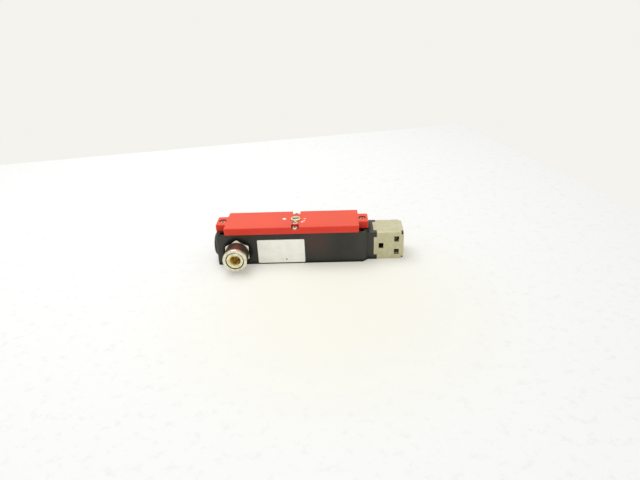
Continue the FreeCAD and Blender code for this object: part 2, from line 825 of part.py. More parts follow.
def head_shell():
    """Zinc block with tongue openings in the front and end faces, hollow for the drum."""
    body = box(head_x0, head_x1, -half_head, half_head, 0, head_size)
    edges = lines_along(body, X, lambda c: True) + lines_along(body, Y, lambda c: c.x > drum_x)
    edges += lines_along(body, Z, lambda c: c.x > drum_x)
    body = body.makeFillet(head_edge_radius, edges)
    inner = half_head - head_wall
    hollow_z = drum_half_height + 1.6
    room = box(head_x0 + head_wall, head_x1 - head_wall, -inner, inner,
               axis_z - hollow_z, axis_z + hollow_z)
    side = drum_radius - 0.6
    deep = box(drum_x - side, drum_x + side, -side, side, head_wall, head_size - head_wall)
    axle_axis = Vector(drum_x, 0, 0)
    boss_reach = axis_z - drum_half_height - run_fit * 6
    bosses = [rod(axle_axis + Z, Z, drum_boss_radius, boss_reach - 1),
              rod(axle_axis + Z * (head_size - boss_reach), Z, drum_boss_radius, boss_reach - 1)]
    body = joined([body.cut(joined([room, deep]))] + bosses)
    cuts = tongue_holes("front") + tongue_holes("end")
    axle_hole = drum_axle_radius + seat_fit
    cuts.append(rod(axle_axis + Z * (head_wall / 2), Z, axle_hole, head_size - head_wall))
    cuts.append(rod(Vector(head_x0 - 1, 0, axis_z), X, plunger_hole_radius, head_wall + 2))
    gasket_outer = plunger_hole_radius + 2 + head_gasket_width
    cuts.append(ring(Vector(head_x0, 0, axis_z), X, gasket_outer + hole_fit,
                     gasket_outer - head_gasket_width - hole_fit, head_gasket_thickness))
    recess_x = head_x1 - head_recess_depth
    for y, z in head_screw_axes():
        sy = math.copysign(1, y)
        sz = math.copysign(1, z - axis_z)
        cuts.append(rod(Vector(head_x0 - 1, y, z), X, head_screw_radius + hole_fit, head_size + 2))
        cuts.append(rod(Vector(recess_x, y, z), X, head_screw_head_radius + 0.3, head_recess_depth + 1))
        y0, y1 = sorted((y, sy * (half_head + 1)))
        z0, z1 = sorted((z, axis_z + sz * (half_head + 1)))
        cuts.append(box(recess_x, head_x1 + 1, y0, y1, z0, z1))
        reach = half_head - lug_size - hole_fit
        y0, y1 = sorted((sy * reach, sy * (half_head + 1)))
        z0, z1 = sorted((axis_z + sz * reach, axis_z + sz * (half_head + 1)))
        cuts.append(box(head_x0 - 1, head_x0 + lug_length + hole_fit, y0, y1, z0, z1))
    return body.cut(Part.makeCompound(cuts))


def head_screws():
    """Four long screws through the head and the lugs into the collar."""
    seat_x = head_x1 - head_recess_depth
    screws = []
    for y, z in head_screw_axes():
        screws.append(cross_screw(Vector(seat_x, y, z), -X, head_screw_head_radius, head_screw_head_height,
                                  head_screw_radius, head_screw_length))
    return Part.makeCompound(screws)


def head_gasket():
    """Round seal in a groove of the head's back face."""
    outer = plunger_hole_radius + 2 + head_gasket_width
    return ring(Vector(head_x0, 0, axis_z), X, outer, outer - head_gasket_width, head_gasket_thickness)


def drum_axle():
    """Steel pin that the drum turns on."""
    return rod(Vector(drum_x, 0, head_wall / 2), Z, drum_axle_radius, head_size - head_wall)


def cam_face():
    """Plan of the cam: a spiral whose radius grows evenly with angle, a dwell, and a straight return."""
    def point(radius, degrees):
        return Vector(radius * math.cos(math.radians(degrees)), radius * math.sin(math.radians(degrees)), 0)

    steps = 16
    spiral = []
    for i in range(steps + 1):
        share = i / steps
        spiral.append(point(cam_hub_radius + plunger_stroke * share, 180 - cam_angle * share))
    top = cam_hub_radius + plunger_stroke
    peak = 180 - cam_angle
    curve = Part.BSplineCurve()
    curve.interpolate(spiral)
    dwell = Part.Arc(point(top, peak), point(top, peak - cam_dwell_angle / 2),
                     point(top, peak - cam_dwell_angle))
    edges = [Part.LineSegment(Vector(), spiral[0]), curve, dwell,
             Part.LineSegment(point(top, peak - cam_dwell_angle), Vector())]
    return Part.Face(Part.Wire([e.toShape() for e in edges]))


def control_drum():
    """Drum with pockets for the tongue in its end layers and the cam between them."""
    layers = []
    layer_height = drum_half_height - cam_half_height
    for z0 in (-drum_half_height, cam_half_height):
        layer = rod(Z * z0, Z, drum_radius, layer_height)
        inner = tongue_side_offset - tongue_hole_width / 2 - free_gap / 2
        outer = drum_radius + 1
        front_pocket = box(inner, outer, -outer, pocket_depth, z0 - 1, z0 + layer_height + 1)
        end_pocket = box(-pocket_depth, outer, inner, outer, z0 - 1, z0 + layer_height + 1)
        layers.append(layer.cut(front_pocket).cut(end_pocket))
    hub = rod(Z * -drum_half_height, Z, cam_hub_radius, 2 * drum_half_height)
    cam = cam_face().extrude(Z * 2 * cam_half_height)
    cam.translate(Z * -cam_half_height)
    drum = joined([hub, cam] + layers)
    drum = drum.cut(rod(Z * -head_size, Z, drum_axle_radius + run_fit, 2 * head_size))
    drum.translate(Vector(drum_x, 0, axis_z))
    return drum


def plunger_tip_x():
    """End of the plunger beside the cam."""
    return drum_x - cam_hub_radius - plunger_cam_gap


def rod_end_x():
    """Free end of the contact rod, left of the contact block."""
    return block_x0 - 1


def plunger():
    """Steel plunger: nose at the cam, guide length, stop collar, neck, lock flange and contact rod."""
    tip = plunger_tip_x()
    start = rod_end_x()
    shoulder = tip - plunger_nose_length
    profile = [(start, 0), (start, plunger_neck_radius), (flange_x0, plunger_neck_radius),
               (flange_x0, flange_radius), (flange_x1, flange_radius), (flange_x1, plunger_neck_radius),
               (stop_x0, plunger_neck_radius), (stop_x0, stop_radius), (stop_x1, stop_radius),
               (stop_x1, plunger_radius), (shoulder, plunger_radius), (tip, plunger_nose_radius), (tip, 0)]
    return turned(profile, Vector(0, 0, axis_z), X)


def plunger_bush():
    """Flanged bronze bush that guides the plunger."""
    end = head_x0 - plunger_seal_length - 0.6
    bore = plunger_radius + run_fit
    profile = [(bush_x0, bore), (bush_x0, bush_flange_radius), (cavity_x1, bush_flange_radius),
               (cavity_x1, bush_radius), (end, bush_radius), (end, bore)]
    return turned(profile, Vector(0, 0, axis_z), X)


def plunger_seal():
    """Lip seal round the plunger, between the bush and the head."""
    start = head_x0 - plunger_seal_length - 0.4
    return ring(Vector(start, 0, axis_z), X, bush_radius, plunger_radius + run_fit, plunger_seal_length)


def plunger_spring():
    """Spring that pushes the plunger back out."""
    mean = plunger_neck_radius + free_gap + spring_wire_radius
    return coil_spring(Vector(block_x1, 0, axis_z), X, plunger_spring_length, mean, 5)


def lock_lever():
    """Pawl with its nose over the lock flange and a slotted arm up to the slider, drawn at rest."""
    pivot = Vector(lever_x, 0, lever_z)
    nose_z = axis_z + flange_radius - nose_depth
    arm_z0 = axis_z + flange_radius + 0.7
    arm_z1 = lever_z + 2
    half = lever_half_width
    nose = box(nose_x0, nose_x1, -half, half, nose_z, arm_z1)
    arm = box(nose_x0, lever_x, -half, half, arm_z0, arm_z1)
    hub = rod(pivot - Y * lever_hub_half_width, Y, lever_hub_radius, 2 * lever_hub_half_width)
    slot_radius = slider_pin_radius + 0.3
    arm_end = lever_arm + 0.35
    upper = box(lever_x - lever_arm_width / 2, lever_x + lever_arm_width / 2, -half, half,
                lever_z, lever_z + arm_end)
    slot_low = lever_z + lever_arm - 0.35
    slot = joined([rod(Vector(lever_x, -half - 1, slot_low), Y, slot_radius, 2 * half + 2),
                   box(lever_x - slot_radius, lever_x + slot_radius, -half - 1, half + 1, slot_low,
                       lever_z + lever_arm + 1)])
    upper = upper.cut(slot)
    upper.rotate(pivot, Y, -lever_swing / 2)
    lever = joined([nose, arm, hub, upper])
    lever = lever.cut(rod(pivot - Y * half_width, Y, lever_pin_radius + run_fit, housing_width))
    lever.rotate(pivot, Y, lever_swing)
    return lever


def lever_pin():
    """Pivot pin of the lock lever, held in the frame's cheeks."""
    reach = lever_hub_half_width + free_gap + cheek_thickness
    return rod(Vector(lever_x, -reach, lever_z), Y, lever_pin_radius, 2 * reach)


def mechanism_frame():
    """Steel plate on the housing floor with two cheeks for the lever pin."""
    x0 = frame_screw_points()[0][0] - frame_screw_head_radius - 0.4
    x1 = cavity_x1 - 2
    plate = box(x0, x1, -frame_half_width, frame_half_width, floor_thickness, frame_z1)
    shapes = [plate]
    for side in ends:
        inner = side * (lever_hub_half_width + free_gap)
        y0, y1 = sorted((inner, inner + side * cheek_thickness))
        half = lever_hub_radius
        shapes.append(box(lever_x - half, lever_x + half, y0, y1, floor_thickness, lever_z))
        shapes.append(rod(Vector(lever_x, y0, lever_z), Y, half, cheek_thickness))
    frame = joined(shapes)
    cuts = [rod(Vector(lever_x, -half_width, lever_z), Y, lever_pin_radius + seat_fit, housing_width)]
    for x, y in frame_screw_points():
        cuts.append(rod(Vector(x, y, 0), Z, frame_screw_radius + hole_fit, 10))
    for x, y in board_posts():
        cuts.append(rod(Vector(x, y, 0), Z, post_radius + free_gap, 10))
    return frame.cut(Part.makeCompound(cuts))


def frame_screws():
    """Four screws that hold the frame to the floor."""
    screws = []
    for x, y in frame_screw_points():
        depth = plate_thickness + frame_screw_depth
        screws.append(cross_screw(Vector(x, y, frame_z1), -Z, frame_screw_head_radius,
                                  frame_screw_head_height, frame_screw_radius, depth - 0.2))
    return Part.makeCompound(screws)


def solenoid_yoke():
    """Closed steel frame round the coil."""
    z1 = solenoid_z + coil_flange_radius + free_gap + yoke_wall
    body = box(yoke_x0, yoke_x1, -yoke_half_width, yoke_half_width, frame_z1, z1)
    body = body.cut(box(yoke_x0 + yoke_wall, yoke_x1 - yoke_wall, -yoke_half_width - 1, yoke_half_width + 1,
                        frame_z1 + yoke_wall, z1 - yoke_wall))
    hole = rod(Vector(yoke_x1 - yoke_wall - 1, 0, solenoid_z), X, armature_radius + free_gap, yoke_wall + 2)
    core_hole = rod(Vector(yoke_x0 - 1, 0, solenoid_z), X, armature_radius + seat_fit, yoke_wall + 2)
    return body.cut(hole).cut(core_hole)


def fixed_core():
    """Steel core in the closed end of the solenoid."""
    return rod(Vector(yoke_x0, 0, solenoid_z), X, armature_radius, fixed_core_length)


def bobbin():
    """Plastic spool of the coil."""
    x0 = yoke_x0 + yoke_wall
    x1 = yoke_x1 - yoke_wall
    bore = armature_radius + run_fit
    tube = bore + bobbin_tube_wall
    profile = [(x0, bore), (x0, coil_flange_radius), (x0 + coil_flange_thickness, coil_flange_radius),
               (x0 + coil_flange_thickness, tube), (x1 - coil_flange_thickness, tube),
               (x1 - coil_flange_thickness, coil_flange_radius), (x1, coil_flange_radius), (x1, bore)]
    return turned(profile, Vector(0, 0, solenoid_z), X)


def coil_winding():
    """Copper winding between the spool's flanges."""
    x0 = yoke_x0 + yoke_wall + coil_flange_thickness
    x1 = yoke_x1 - yoke_wall - coil_flange_thickness
    inner = armature_radius + run_fit + bobbin_tube_wall
    return ring(Vector(x0, 0, solenoid_z), X, coil_radius, inner, x1 - x0)


def armature():
    """Moving core of the solenoid, riveted to the link plate."""
    x0 = yoke_x0 + fixed_core_length + lock_travel + free_gap
    stud = armature_radius / 2
    profile = [(x0, 0), (x0, armature_radius), (link_x0, armature_radius), (link_x0, stud), (link_x1, stud),
               (link_x1, stud + 0.6), (link_x1 + 0.8, stud + 0.4), (link_x1 + 0.8, 0)]
    return turned(profile, Vector(0, 0, solenoid_z), X)


def armature_link():
    """Upright plate that ties the armature to the slider above it."""
    half = slider_half_width + 0.5
    plate = box(link_x0, link_x1, -half, half, solenoid_z - half, slider_z0)
    hole = rod(Vector(link_x0 - 1, 0, solenoid_z), X, armature_radius / 2 + seat_fit, link_thickness + 2)
    return plate.cut(hole)


def armature_spring():
    """Spring that pushes the armature back out of the coil."""
    mean = armature_radius + free_gap + spring_wire_radius
    return coil_spring(Vector(yoke_x1, 0, solenoid_z), X, armature_spring_length, mean + 0.2, 6)


def slider_end_x():
    """Right end of the lock slider, past its pin."""
    return slider_pin_x() + slider_pin_radius + 1


def slider_pin_x():
    """Place along X of the slider pin at rest."""
    return lever_x + lever_arm * math.sin(half_swing)


def monitor_x():
    """Middle of the monitoring contact."""
    return (block_x0 + block_x1) / 2


def lock_slider():
    """Flat steel bar from the armature link to the lever, forked for the lever's arm."""
    bar = box(link_x0, slider_end_x(), -slider_half_width, slider_half_width, slider_z0, slider_z1)
    half = lever_half_width + free_gap
    low = lever_x - lever_arm_width - free_gap
    fork = box(low, slider_end_x() + 1, -half, half, slider_z0 - 1, slider_z1 + 1)
    pin_hole = rod(Vector(slider_pin_x(), -half_width, slider_pin_z), Y, slider_pin_radius + seat_fit,
                   housing_width)
    bar = bar.cut(fork).cut(pin_hole)
    peg_z = monitor_floor_z() + monitor_bridge_rise + monitor_bridge_thickness
    peg = rod(Vector(monitor_x(), 0, peg_z), Z, monitor_peg_radius, slider_z0 - peg_z + seat_fit)
    return joined([bar, peg])


def slider_pin():
    """Cross pin in the slider's fork."""
    start = Vector(slider_pin_x(), -slider_half_width, slider_pin_z)
    return rod(start, Y, slider_pin_radius, 2 * slider_half_width)


def release_leaf_spring():
    """Bent leaf on the slider that the release pin pushes."""
    x0 = release_x + release_crank_radius + release_pin_radius + free_gap
    half = leaf_width / 2
    foot = box(x0, x0 + leaf_foot, -half, half, slider_z1, slider_z1 + leaf_thickness)
    blade = box(x0, x0 + leaf_thickness, -half, half, slider_z1, crank_pin_z1 - 0.35)
    return joined([foot, blade])


def block_top_z():
    """Top of the door contact block."""
    return slider_z0 - block_clearance


def monitor_floor_z():
    """Floor of the monitoring block's chamber."""
    return block_top_z() + monitor_floor


def chamber_places():
    """X ranges of the two chambers of the door contact block."""
    middle = (block_x0 + block_x1) / 2
    half = block_wall / 2
    return [(block_x0 + block_wall, middle - half), (middle + half, block_x1 - block_wall)]


def bridge_places():
    """Left faces of the two contact bridges."""
    return [x1 - bridge_setback for x0, x1 in chamber_places()]


def contact_block():
    """Plastic block with two chambers for the door contacts, guiding the contact rod."""
    body = box(block_x0, block_x1, -block_half_width, block_half_width, frame_z1, block_top_z())
    half = block_half_width - block_side_wall
    for x0, x1 in chamber_places():
        body = body.cut(box(x0, x1, -half, half, frame_z1 + chamber_floor, block_top_z() + 1))
    guide = rod(Vector(block_x0 - 1, 0, axis_z), X, plunger_neck_radius + run_fit, block_length + 2)
    return body.cut(guide)


def contact_bridges():
    """Two copper bars on the contact rod."""
    bars = []
    for x0 in bridge_places():
        bar = box(x0, x0 + bridge_thickness, -bridge_half_length, bridge_half_length,
                  axis_z - bridge_half_height - 1, axis_z + bridge_half_height + 1)
        bars.append(bar.cut(rod(Vector(x0 - 1, 0, axis_z), X, plunger_neck_radius + seat_fit, 5)))
    return Part.makeCompound(bars)


def contact_pair(face_x, inner_y, outer_y, z0, z1, leg_top):
    """Two angle contacts on the side walls, each with a pad and a leg."""
    pair = []
    for side in ends:
        y0, y1 = sorted((side * inner_y, side * outer_y))
        leg_inner = side * (outer_y - contact_leg_thickness)
        l0, l1 = sorted((leg_inner, side * outer_y))
        pad = box(face_x - contact_thickness, face_x, y0, y1, z0, z1)
        leg = box(face_x - contact_thickness, face_x, l0, l1, z0, leg_top)
        pair.append(joined([pad, leg]))
    return pair


def fixed_contacts():
    """Four fixed contacts of the door circuits."""
    outer = block_half_width - block_side_wall
    contacts = []
    for x0 in bridge_places():
        face = x0 - plunger_stroke - free_gap
        contacts += contact_pair(face, contact_inner_y, outer, axis_z - bridge_half_height,
                                 axis_z + bridge_half_height, block_top_z() - 1)
    return Part.makeCompound(contacts)


def monitor_block():
    """Plastic block above the door contacts, with a chamber for the monitoring contact and slider guides."""
    z1 = slider_z0 - free_gap
    body = box(block_x0, block_x1, -block_half_width, block_half_width, block_top_z(), z1)
    ribs = []
    for side in ends:
        inner = side * (slider_half_width + free_gap)
        y0, y1 = sorted((inner, inner + side * guide_rib_width))
        ribs.append(box(block_x0, block_x1, y0, y1, z1 - 1, z1 + guide_rib_height))
    body = joined([body] + ribs)
    half = block_half_width - block_side_wall
    x0 = monitor_x() - lock_travel - monitor_room_left
    x1 = monitor_x() + monitor_room_right
    room = box(x0, x1, -half, half, monitor_floor_z(), z1 - guide_rib_width)
    slit = box(x0, x1, -monitor_half_width, monitor_half_width, monitor_floor_z(), z1 + 1)
    return body.cut(room).cut(slit)


def monitor_bridge():
    """Copper bar on the slider's peg."""
    z0 = monitor_floor_z() + monitor_bridge_rise
    x0 = monitor_x() - monitor_half_width
    x1 = monitor_x() + monitor_half_width
    return box(x0, x1, -bridge_half_length, bridge_half_length, z0, z0 + monitor_bridge_thickness)


def monitor_contacts():
    """Two fixed contacts of the monitoring circuit."""
    x1 = monitor_x() - monitor_half_width - lock_travel + monitor_pad
    outer = block_half_width - block_side_wall
    pair = []
    for side in ends:
        y0, y1 = sorted((side * (outer - monitor_pad), side * outer))
        z1 = slider_z0 - free_gap - guide_rib_width
        z0 = monitor_floor_z() + monitor_bridge_rise + monitor_bridge_thickness + free_gap
        pair.append(box(x1 - monitor_pad, x1, y0, y1, z0, z1))
    return Part.makeCompound(pair)


def wiring_board():
    """Printed board above the connector's neck."""
    board = box(board_x0, board_x1, board_edge_y, board_edge_y + board_width, board_z,
                board_z + board_thickness)
    for x, y in board_posts():
        board = board.cut(rod(Vector(x, y, board_z - 1), Z, post_hole_radius + hole_fit, 4))
    return board


def board_header():
    """Plug header on the board that takes the connector's wires."""
    half = header_length / 2
    y0 = board_edge_y + header_setback
    z0 = board_z + board_thickness
    return box(connector_x - half, connector_x + half, y0, y0 + header_width, z0, z0 + header_height)


def board_screws():
    """Small screws that hold the board to its posts."""
    screws = []
    for x, y in board_posts():
        seat = Vector(x, y, board_z + board_thickness)
        screws.append(cross_screw(seat, -Z, board_screw_head_radius, board_screw_head_height,
                                  post_hole_radius - seat_fit, board_screw_length))
    return Part.makeCompound(screws)


def coil_leads():
    """Two wires from the board to the coil winding."""
    leads = []
    side_y = coil_radius + lead_radius + 1.7
    start_x = board_x1 - 2 * lead_radius - 1
    for i, dz in enumerate((2.0, -2.0)):
        x = start_x - 2 * i
        z = solenoid_z + dz
        touch_y = math.sqrt(coil_radius ** 2 - dz ** 2) + 0.1
        end_x = yoke_x0 + 9 + 2 * i
        points = [Vector(x, side_y, board_z), Vector(x, side_y, z), Vector(end_x, side_y, z),
                  Vector(end_x, touch_y, z)]
        leads.append(route_tube(points, 1.0, lead_radius))
    return Part.makeCompound(leads)


def wiring_harness():
    """Sleeved bundle from the board along the back wall to the contact block."""
    x0 = connector_x + 0.5
    end_x = block_x0 + harness_entry
    points = [Vector(x0, harness_y, board_z), Vector(x0, harness_y, harness_z),
              Vector(end_x, harness_y, harness_z), Vector(end_x, block_half_width, harness_z)]
    return route_tube(points, harness_bend, harness_radius)


pieces = [housing, cover, cover_screws, release_spindle, release_o_ring, release_clip, release_lock_screw,
          type_label, blind_plug, blind_plug_seal, connector_shell, connector_seal, connector_sleeve,
          connector_insert, connector_pins, connector_wires, head_shell, head_screws, head_gasket, drum_axle,
          control_drum, plunger, plunger_bush, plunger_seal, plunger_spring, lock_lever, lever_pin,
          mechanism_frame, frame_screws, solenoid_yoke, fixed_core, bobbin, coil_winding, armature,
          armature_link, armature_spring, lock_slider, slider_pin, release_leaf_spring, contact_block,
          contact_bridges, fixed_contacts, monitor_block, monitor_bridge, monitor_contacts, wiring_board,
          board_header, board_screws, coil_leads, wiring_harness]

shapes = {piece.__name__: piece() for piece in pieces}
shapes["cover_gasket"] = gasket_shape(0)
for node, shape in shapes.items():
    shape.exportStep(f"parts/{node}.step")
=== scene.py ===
import math

import bpy
import numpy as np
from mathutils import Matrix, Vector


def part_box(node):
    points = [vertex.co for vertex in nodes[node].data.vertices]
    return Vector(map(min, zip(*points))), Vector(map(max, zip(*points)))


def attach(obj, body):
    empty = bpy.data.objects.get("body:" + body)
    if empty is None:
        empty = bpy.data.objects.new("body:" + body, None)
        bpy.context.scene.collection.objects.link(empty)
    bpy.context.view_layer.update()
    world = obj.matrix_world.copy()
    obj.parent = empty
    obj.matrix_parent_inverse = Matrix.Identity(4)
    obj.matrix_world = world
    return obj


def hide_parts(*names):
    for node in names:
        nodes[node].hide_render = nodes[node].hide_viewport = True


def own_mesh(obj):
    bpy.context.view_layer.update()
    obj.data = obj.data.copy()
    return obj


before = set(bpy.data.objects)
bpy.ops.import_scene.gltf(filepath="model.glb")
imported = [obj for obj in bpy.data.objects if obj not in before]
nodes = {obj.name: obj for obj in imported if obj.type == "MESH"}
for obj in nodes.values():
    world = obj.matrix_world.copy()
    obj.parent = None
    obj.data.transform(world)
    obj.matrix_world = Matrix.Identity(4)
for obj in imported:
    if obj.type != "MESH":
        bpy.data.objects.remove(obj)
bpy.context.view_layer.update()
scene = bpy.context.scene
mm = 0.001


# Table and backdrop: a matt white sheet, smudged, whose far edges meet a pale wall. Near the part the sheet
# is painted yellowish as warm light. The sheet keeps the part's shadow; a third of what is seen of it is its
# plain colour, painted warmer near the part, so the shadow stays soft and is painted warm. The wall is the
# world colour.
def linear(code):
    """An sRGB hex colour as linear light: each channel over 12.92, or ((c + 0.055) / 1.055) ** 2.4."""
    channels = [int(code[i:i + 2], 16) / 255 for i in (0, 2, 4)]
    return tuple(c / 12.92 if c <= 0.04045 else ((c + 0.055) / 1.055) ** 2.4 for c in channels) + (1.0,)


def add(tree, kind, inputs=None, **settings):
    """Adds a node: settings are its properties, inputs are values or sockets for its inputs."""
    made = tree.nodes.new(kind)
    for name, value in settings.items():
        setattr(made, name, value)
    for name, value in (inputs or {}).items():
        if isinstance(value, bpy.types.NodeSocket):
            tree.links.new(value, made.inputs[name])
        else:
            made.inputs[name].default_value = value
    return made


def stops(ramp, *places):
    """Gives a colour ramp its stops, each a position and an sRGB hex colour."""
    for element, (position, code) in zip(ramp.color_ramp.elements, places):
        element.position = position
        element.color = linear(code)


def seen_directly(tree):
    """One for a ray from the camera, also by way of metal or glass, and nought for the rays that light."""
    ray = add(tree, "ShaderNodeLightPath")
    first = add(tree, "ShaderNodeMath", {0: ray.outputs["Is Camera Ray"], 1: ray.outputs["Is Glossy Ray"]},
                operation="MAXIMUM")
    either = add(tree, "ShaderNodeMath", {0: first.outputs[0], 1: ray.outputs["Is Transmission Ray"]},
                 operation="MAXIMUM")
    return either.outputs[0]


def finish_of(name, shader):
    """A material with one Principled shader whose sockets get these values, and the place on the object."""
    material = bpy.data.materials.new(name)
    material.use_nodes = True
    tree = material.node_tree
    tree.nodes.clear()
    surface = add(tree, "ShaderNodeBsdfPrincipled", shader)
    add(tree, "ShaderNodeOutputMaterial", {"Surface": surface.outputs["BSDF"]})
    place = add(tree, "ShaderNodeTexCoord").outputs["Object"]
    return material, tree, surface, place


def link(tree, source, surface, socket):
    """Joins an output to one of the shader's sockets."""
    tree.links.new(source, surface.inputs[socket])


def nearness(tree, place, spot, edge, most_at, most=1.0, fall="SMOOTHSTEP"):
    """How near a place is to a spot: the distance between them, mapped from nought at the edge's distance to
    the most at the shorter distance."""
    away = add(tree, "ShaderNodeVectorMath", {0: place, 1: spot}, operation="DISTANCE")
    near = add(tree, "ShaderNodeMapRange", {"Value": away.outputs["Value"], "From Min": edge,
                                            "From Max": most_at, "To Max": most}, interpolation_type=fall)
    return near.outputs["Result"]


def mesh_of(name, points, faces, material, smooth_angle=30):
    """An object from points and faces, shaded smooth except at edges sharper than the angle."""
    mesh = bpy.data.meshes.new(name)
    mesh.from_pydata(points.reshape(-1, 3).tolist(), [], [tuple(f) for f in faces])
    mesh.validate()
    mesh.shade_smooth()
    mesh.set_sharp_from_angle(angle=math.radians(smooth_angle))
    mesh.materials.append(material)
    piece = bpy.data.objects.new(name, mesh)
    scene.collection.objects.link(piece)
    return piece


table_film, tree, surface, place = finish_of("matt_table_film", {"Roughness": 0.75,
                                                                 "Specular IOR Level": 0.2})
smudge = add(tree, "ShaderNodeTexNoise", {"Vector": place, "Scale": 1 / (9 * mm), "Detail": 7.0,
                                          "Roughness": 0.7})
tone = add(tree, "ShaderNodeValToRGB", {"Fac": smudge.outputs["Fac"]})
stops(tone, (0.36, "e8e8e6"), (0.46, "eeeeed"))
# Painted warm light: towards this spot the sheet turns yellowish and its glow warmer, which paints the shadow
# warm.
warm_light_spot = (40 * mm, -90 * mm, 0.0)
painted_warm_light = nearness(tree, place, warm_light_spot, 220 * mm, 20 * mm)
paper = add(tree, "ShaderNodeMix", {"Factor": painted_warm_light, 6: tone.outputs["Color"], 7: linear("eae9e4")},
            data_type="RGBA")
link(tree, paper.outputs[2], surface, "Base Color")
warm = add(tree, "ShaderNodeMix", {"Factor": painted_warm_light, 6: tone.outputs["Color"], 7: linear("f1eed4")},
           data_type="RGBA")
plain_share = 0.33
glow = add(tree, "ShaderNodeEmission", {"Color": warm.outputs[2], "Strength": 1.08})
share = add(tree, "ShaderNodeMath", {0: seen_directly(tree), 1: plain_share}, operation="MULTIPLY")
sheet = add(tree, "ShaderNodeMixShader", {0: share.outputs[0], 1: surface.outputs["BSDF"],
                                          2: glow.outputs[0]})
tree.links.new(sheet.outputs[0], tree.nodes["Material Output"].inputs["Surface"])
far_left, far_right, near_right = [-2.0, 0.013], [0.276, 0.493], [0.6, -0.6]
front_right, front_left = [0.6, -1.6], [-2.0, -1.6]
table_gap = 0.02 * mm
table_corners = np.array([[*corner, -table_gap] for corner in (far_left, far_right, near_right, front_right,
                                                               front_left)])
table = mesh_of("table", table_corners, [(0, 4, 3, 2, 1)], table_film)

world = bpy.data.worlds.new("pale_wall")
world.use_nodes = True
scene.world = world
room = world.node_tree
room.nodes.clear()
light_from = add(room, "ShaderNodeBackground", {"Color": linear("ffffff"), "Strength": 0.62})
wall_seen = add(room, "ShaderNodeBackground", {"Color": linear("f4f3ee"), "Strength": 1.0})
both = add(room, "ShaderNodeMixShader", {0: seen_directly(room), 1: light_from.outputs[0],
                                         2: wall_seen.outputs[0]})
add(room, "ShaderNodeOutputWorld", {"Surface": both.outputs[0]})

# Studio lamps: a large soft box overhead, a little behind and to the left, and a weak one in front.
# Each points at the middle of the object; its row gives its place and size in metres and its watts.
for lamp_name, spot, size, watts in (("top_box", (-0.25, 0.25, 0.95), 0.7, 6.9),
                                     ("front_box", (0.2, -0.9, 0.5), 0.6, 1.4)):
    lamp = bpy.data.lights.new(lamp_name, "AREA")
    lamp.size = size
    lamp.energy = watts
    holder = bpy.data.objects.new(lamp_name, lamp)
    holder.matrix_world = (Matrix.Translation(spot)
                           @ (-Vector(spot)).to_track_quat("-Z", "Y").to_matrix().to_4x4())
    scene.collection.objects.link(holder)

# Camera: a 36 mm frame seen from the connector's side, half a metre away, looking 26.6 degrees down.
# It is turned 2 degrees to the left of the object's depth and tilted a little about its own line of sight.
camera_place = (0.04574, -0.50694, 0.26937)
look_down, turned_left, tilt = 26.585, 2.066, -2.326
focal_length = 30.82
lens = bpy.data.cameras.new("camera")
lens.sensor_width = 36.0
lens.lens = focal_length
camera = bpy.data.objects.new("camera", lens)
camera.matrix_world = (Matrix.Translation(camera_place) @ Matrix.Rotation(math.radians(turned_left), 4, "Z")
                       @ Matrix.Rotation(math.radians(90 - look_down), 4, "X")
                       @ Matrix.Rotation(math.radians(tilt), 4, "Z"))
scene.collection.objects.link(camera)
scene.camera = camera
scene.view_settings.view_transform = "Standard"


# Housing: one aluminium pressure casting, blasted and coated with fine black powder. The coat has a satin
# gloss and an orange peel, drawn a little coarser than the real one so that it shows. Its ends are painted
# lighter as if lit more, and a reddish patch on the front is a painted reflection of the red cover. Its
# nooks, the places under the cover's ears and a ring round the connector are painted dark as shade.
def dress(material, *names):
    """Gives CAD nodes one material in every slot."""
    for name in names:
        for slot in nodes[name].material_slots:
            slot.material = material


grain_size = 0.55 * mm
dust_size = 22 * mm
red_sheen_spot = (24 * mm, -20 * mm, 24 * mm)
under_right_ear, under_left_ear, round_connector = (75, -12, 33), (-71.2, -17.5, 35.5), (-55, -20, 15.2)
full_specular = 0.35
powder_coat, tree, surface, place = finish_of("black_powder_coat", {"Specular IOR Level": full_specular})
dust = add(tree, "ShaderNodeTexNoise", {"Vector": place, "Scale": 1 / dust_size, "Detail": 5.0,
                                        "Roughness": 0.6})
shade = add(tree, "ShaderNodeValToRGB", {"Fac": dust.outputs["Fac"]})
stops(shade, (0.35, "292823"), (0.68, "35332d"))
# Painted reflection: a reddish-brown patch on the front face for the red cover's sheen.
painted_red_sheen = nearness(tree, place, red_sheen_spot, 20 * mm, 4 * mm, 0.9)
red_sheened = add(tree, "ShaderNodeMix", {"Factor": painted_red_sheen, 6: shade.outputs["Color"], 7: linear("46332d")},
              data_type="RGBA")
# Painted light: the coat turns greyer towards both ends, as if the ends caught more light.
length_way = add(tree, "ShaderNodeSeparateXYZ", {0: place})
from_middle = add(tree, "ShaderNodeMath", {0: length_way.outputs["X"]}, operation="ABSOLUTE")
lit_ends = add(tree, "ShaderNodeMapRange", {"Value": from_middle.outputs[0], "From Min": 54 * mm,
                                        "From Max": 76 * mm, "To Max": 0.7}, interpolation_type="SMOOTHSTEP")
lightened_ends = add(tree, "ShaderNodeMix", {"Factor": lit_ends.outputs["Result"], 6: red_sheened.outputs[2],
                                    7: linear("3f3f39")}, data_type="RGBA")
# Painted shade: where ambient occlusion finds nooks, the coat is mixed towards near black.
nook = add(tree, "ShaderNodeAmbientOcclusion", {"Distance": 6 * mm}, samples=8)
painted_nook_shade = add(tree, "ShaderNodeMapRange", {"Value": nook.outputs["AO"], "From Min": 0.9, "From Max": 0.5,
                                        "To Max": 0.85})
coated = add(tree, "ShaderNodeMix", {"Factor": painted_nook_shade.outputs["Result"], 6: lightened_ends.outputs[2],
                                     7: linear("100f0c")}, data_type="RGBA")
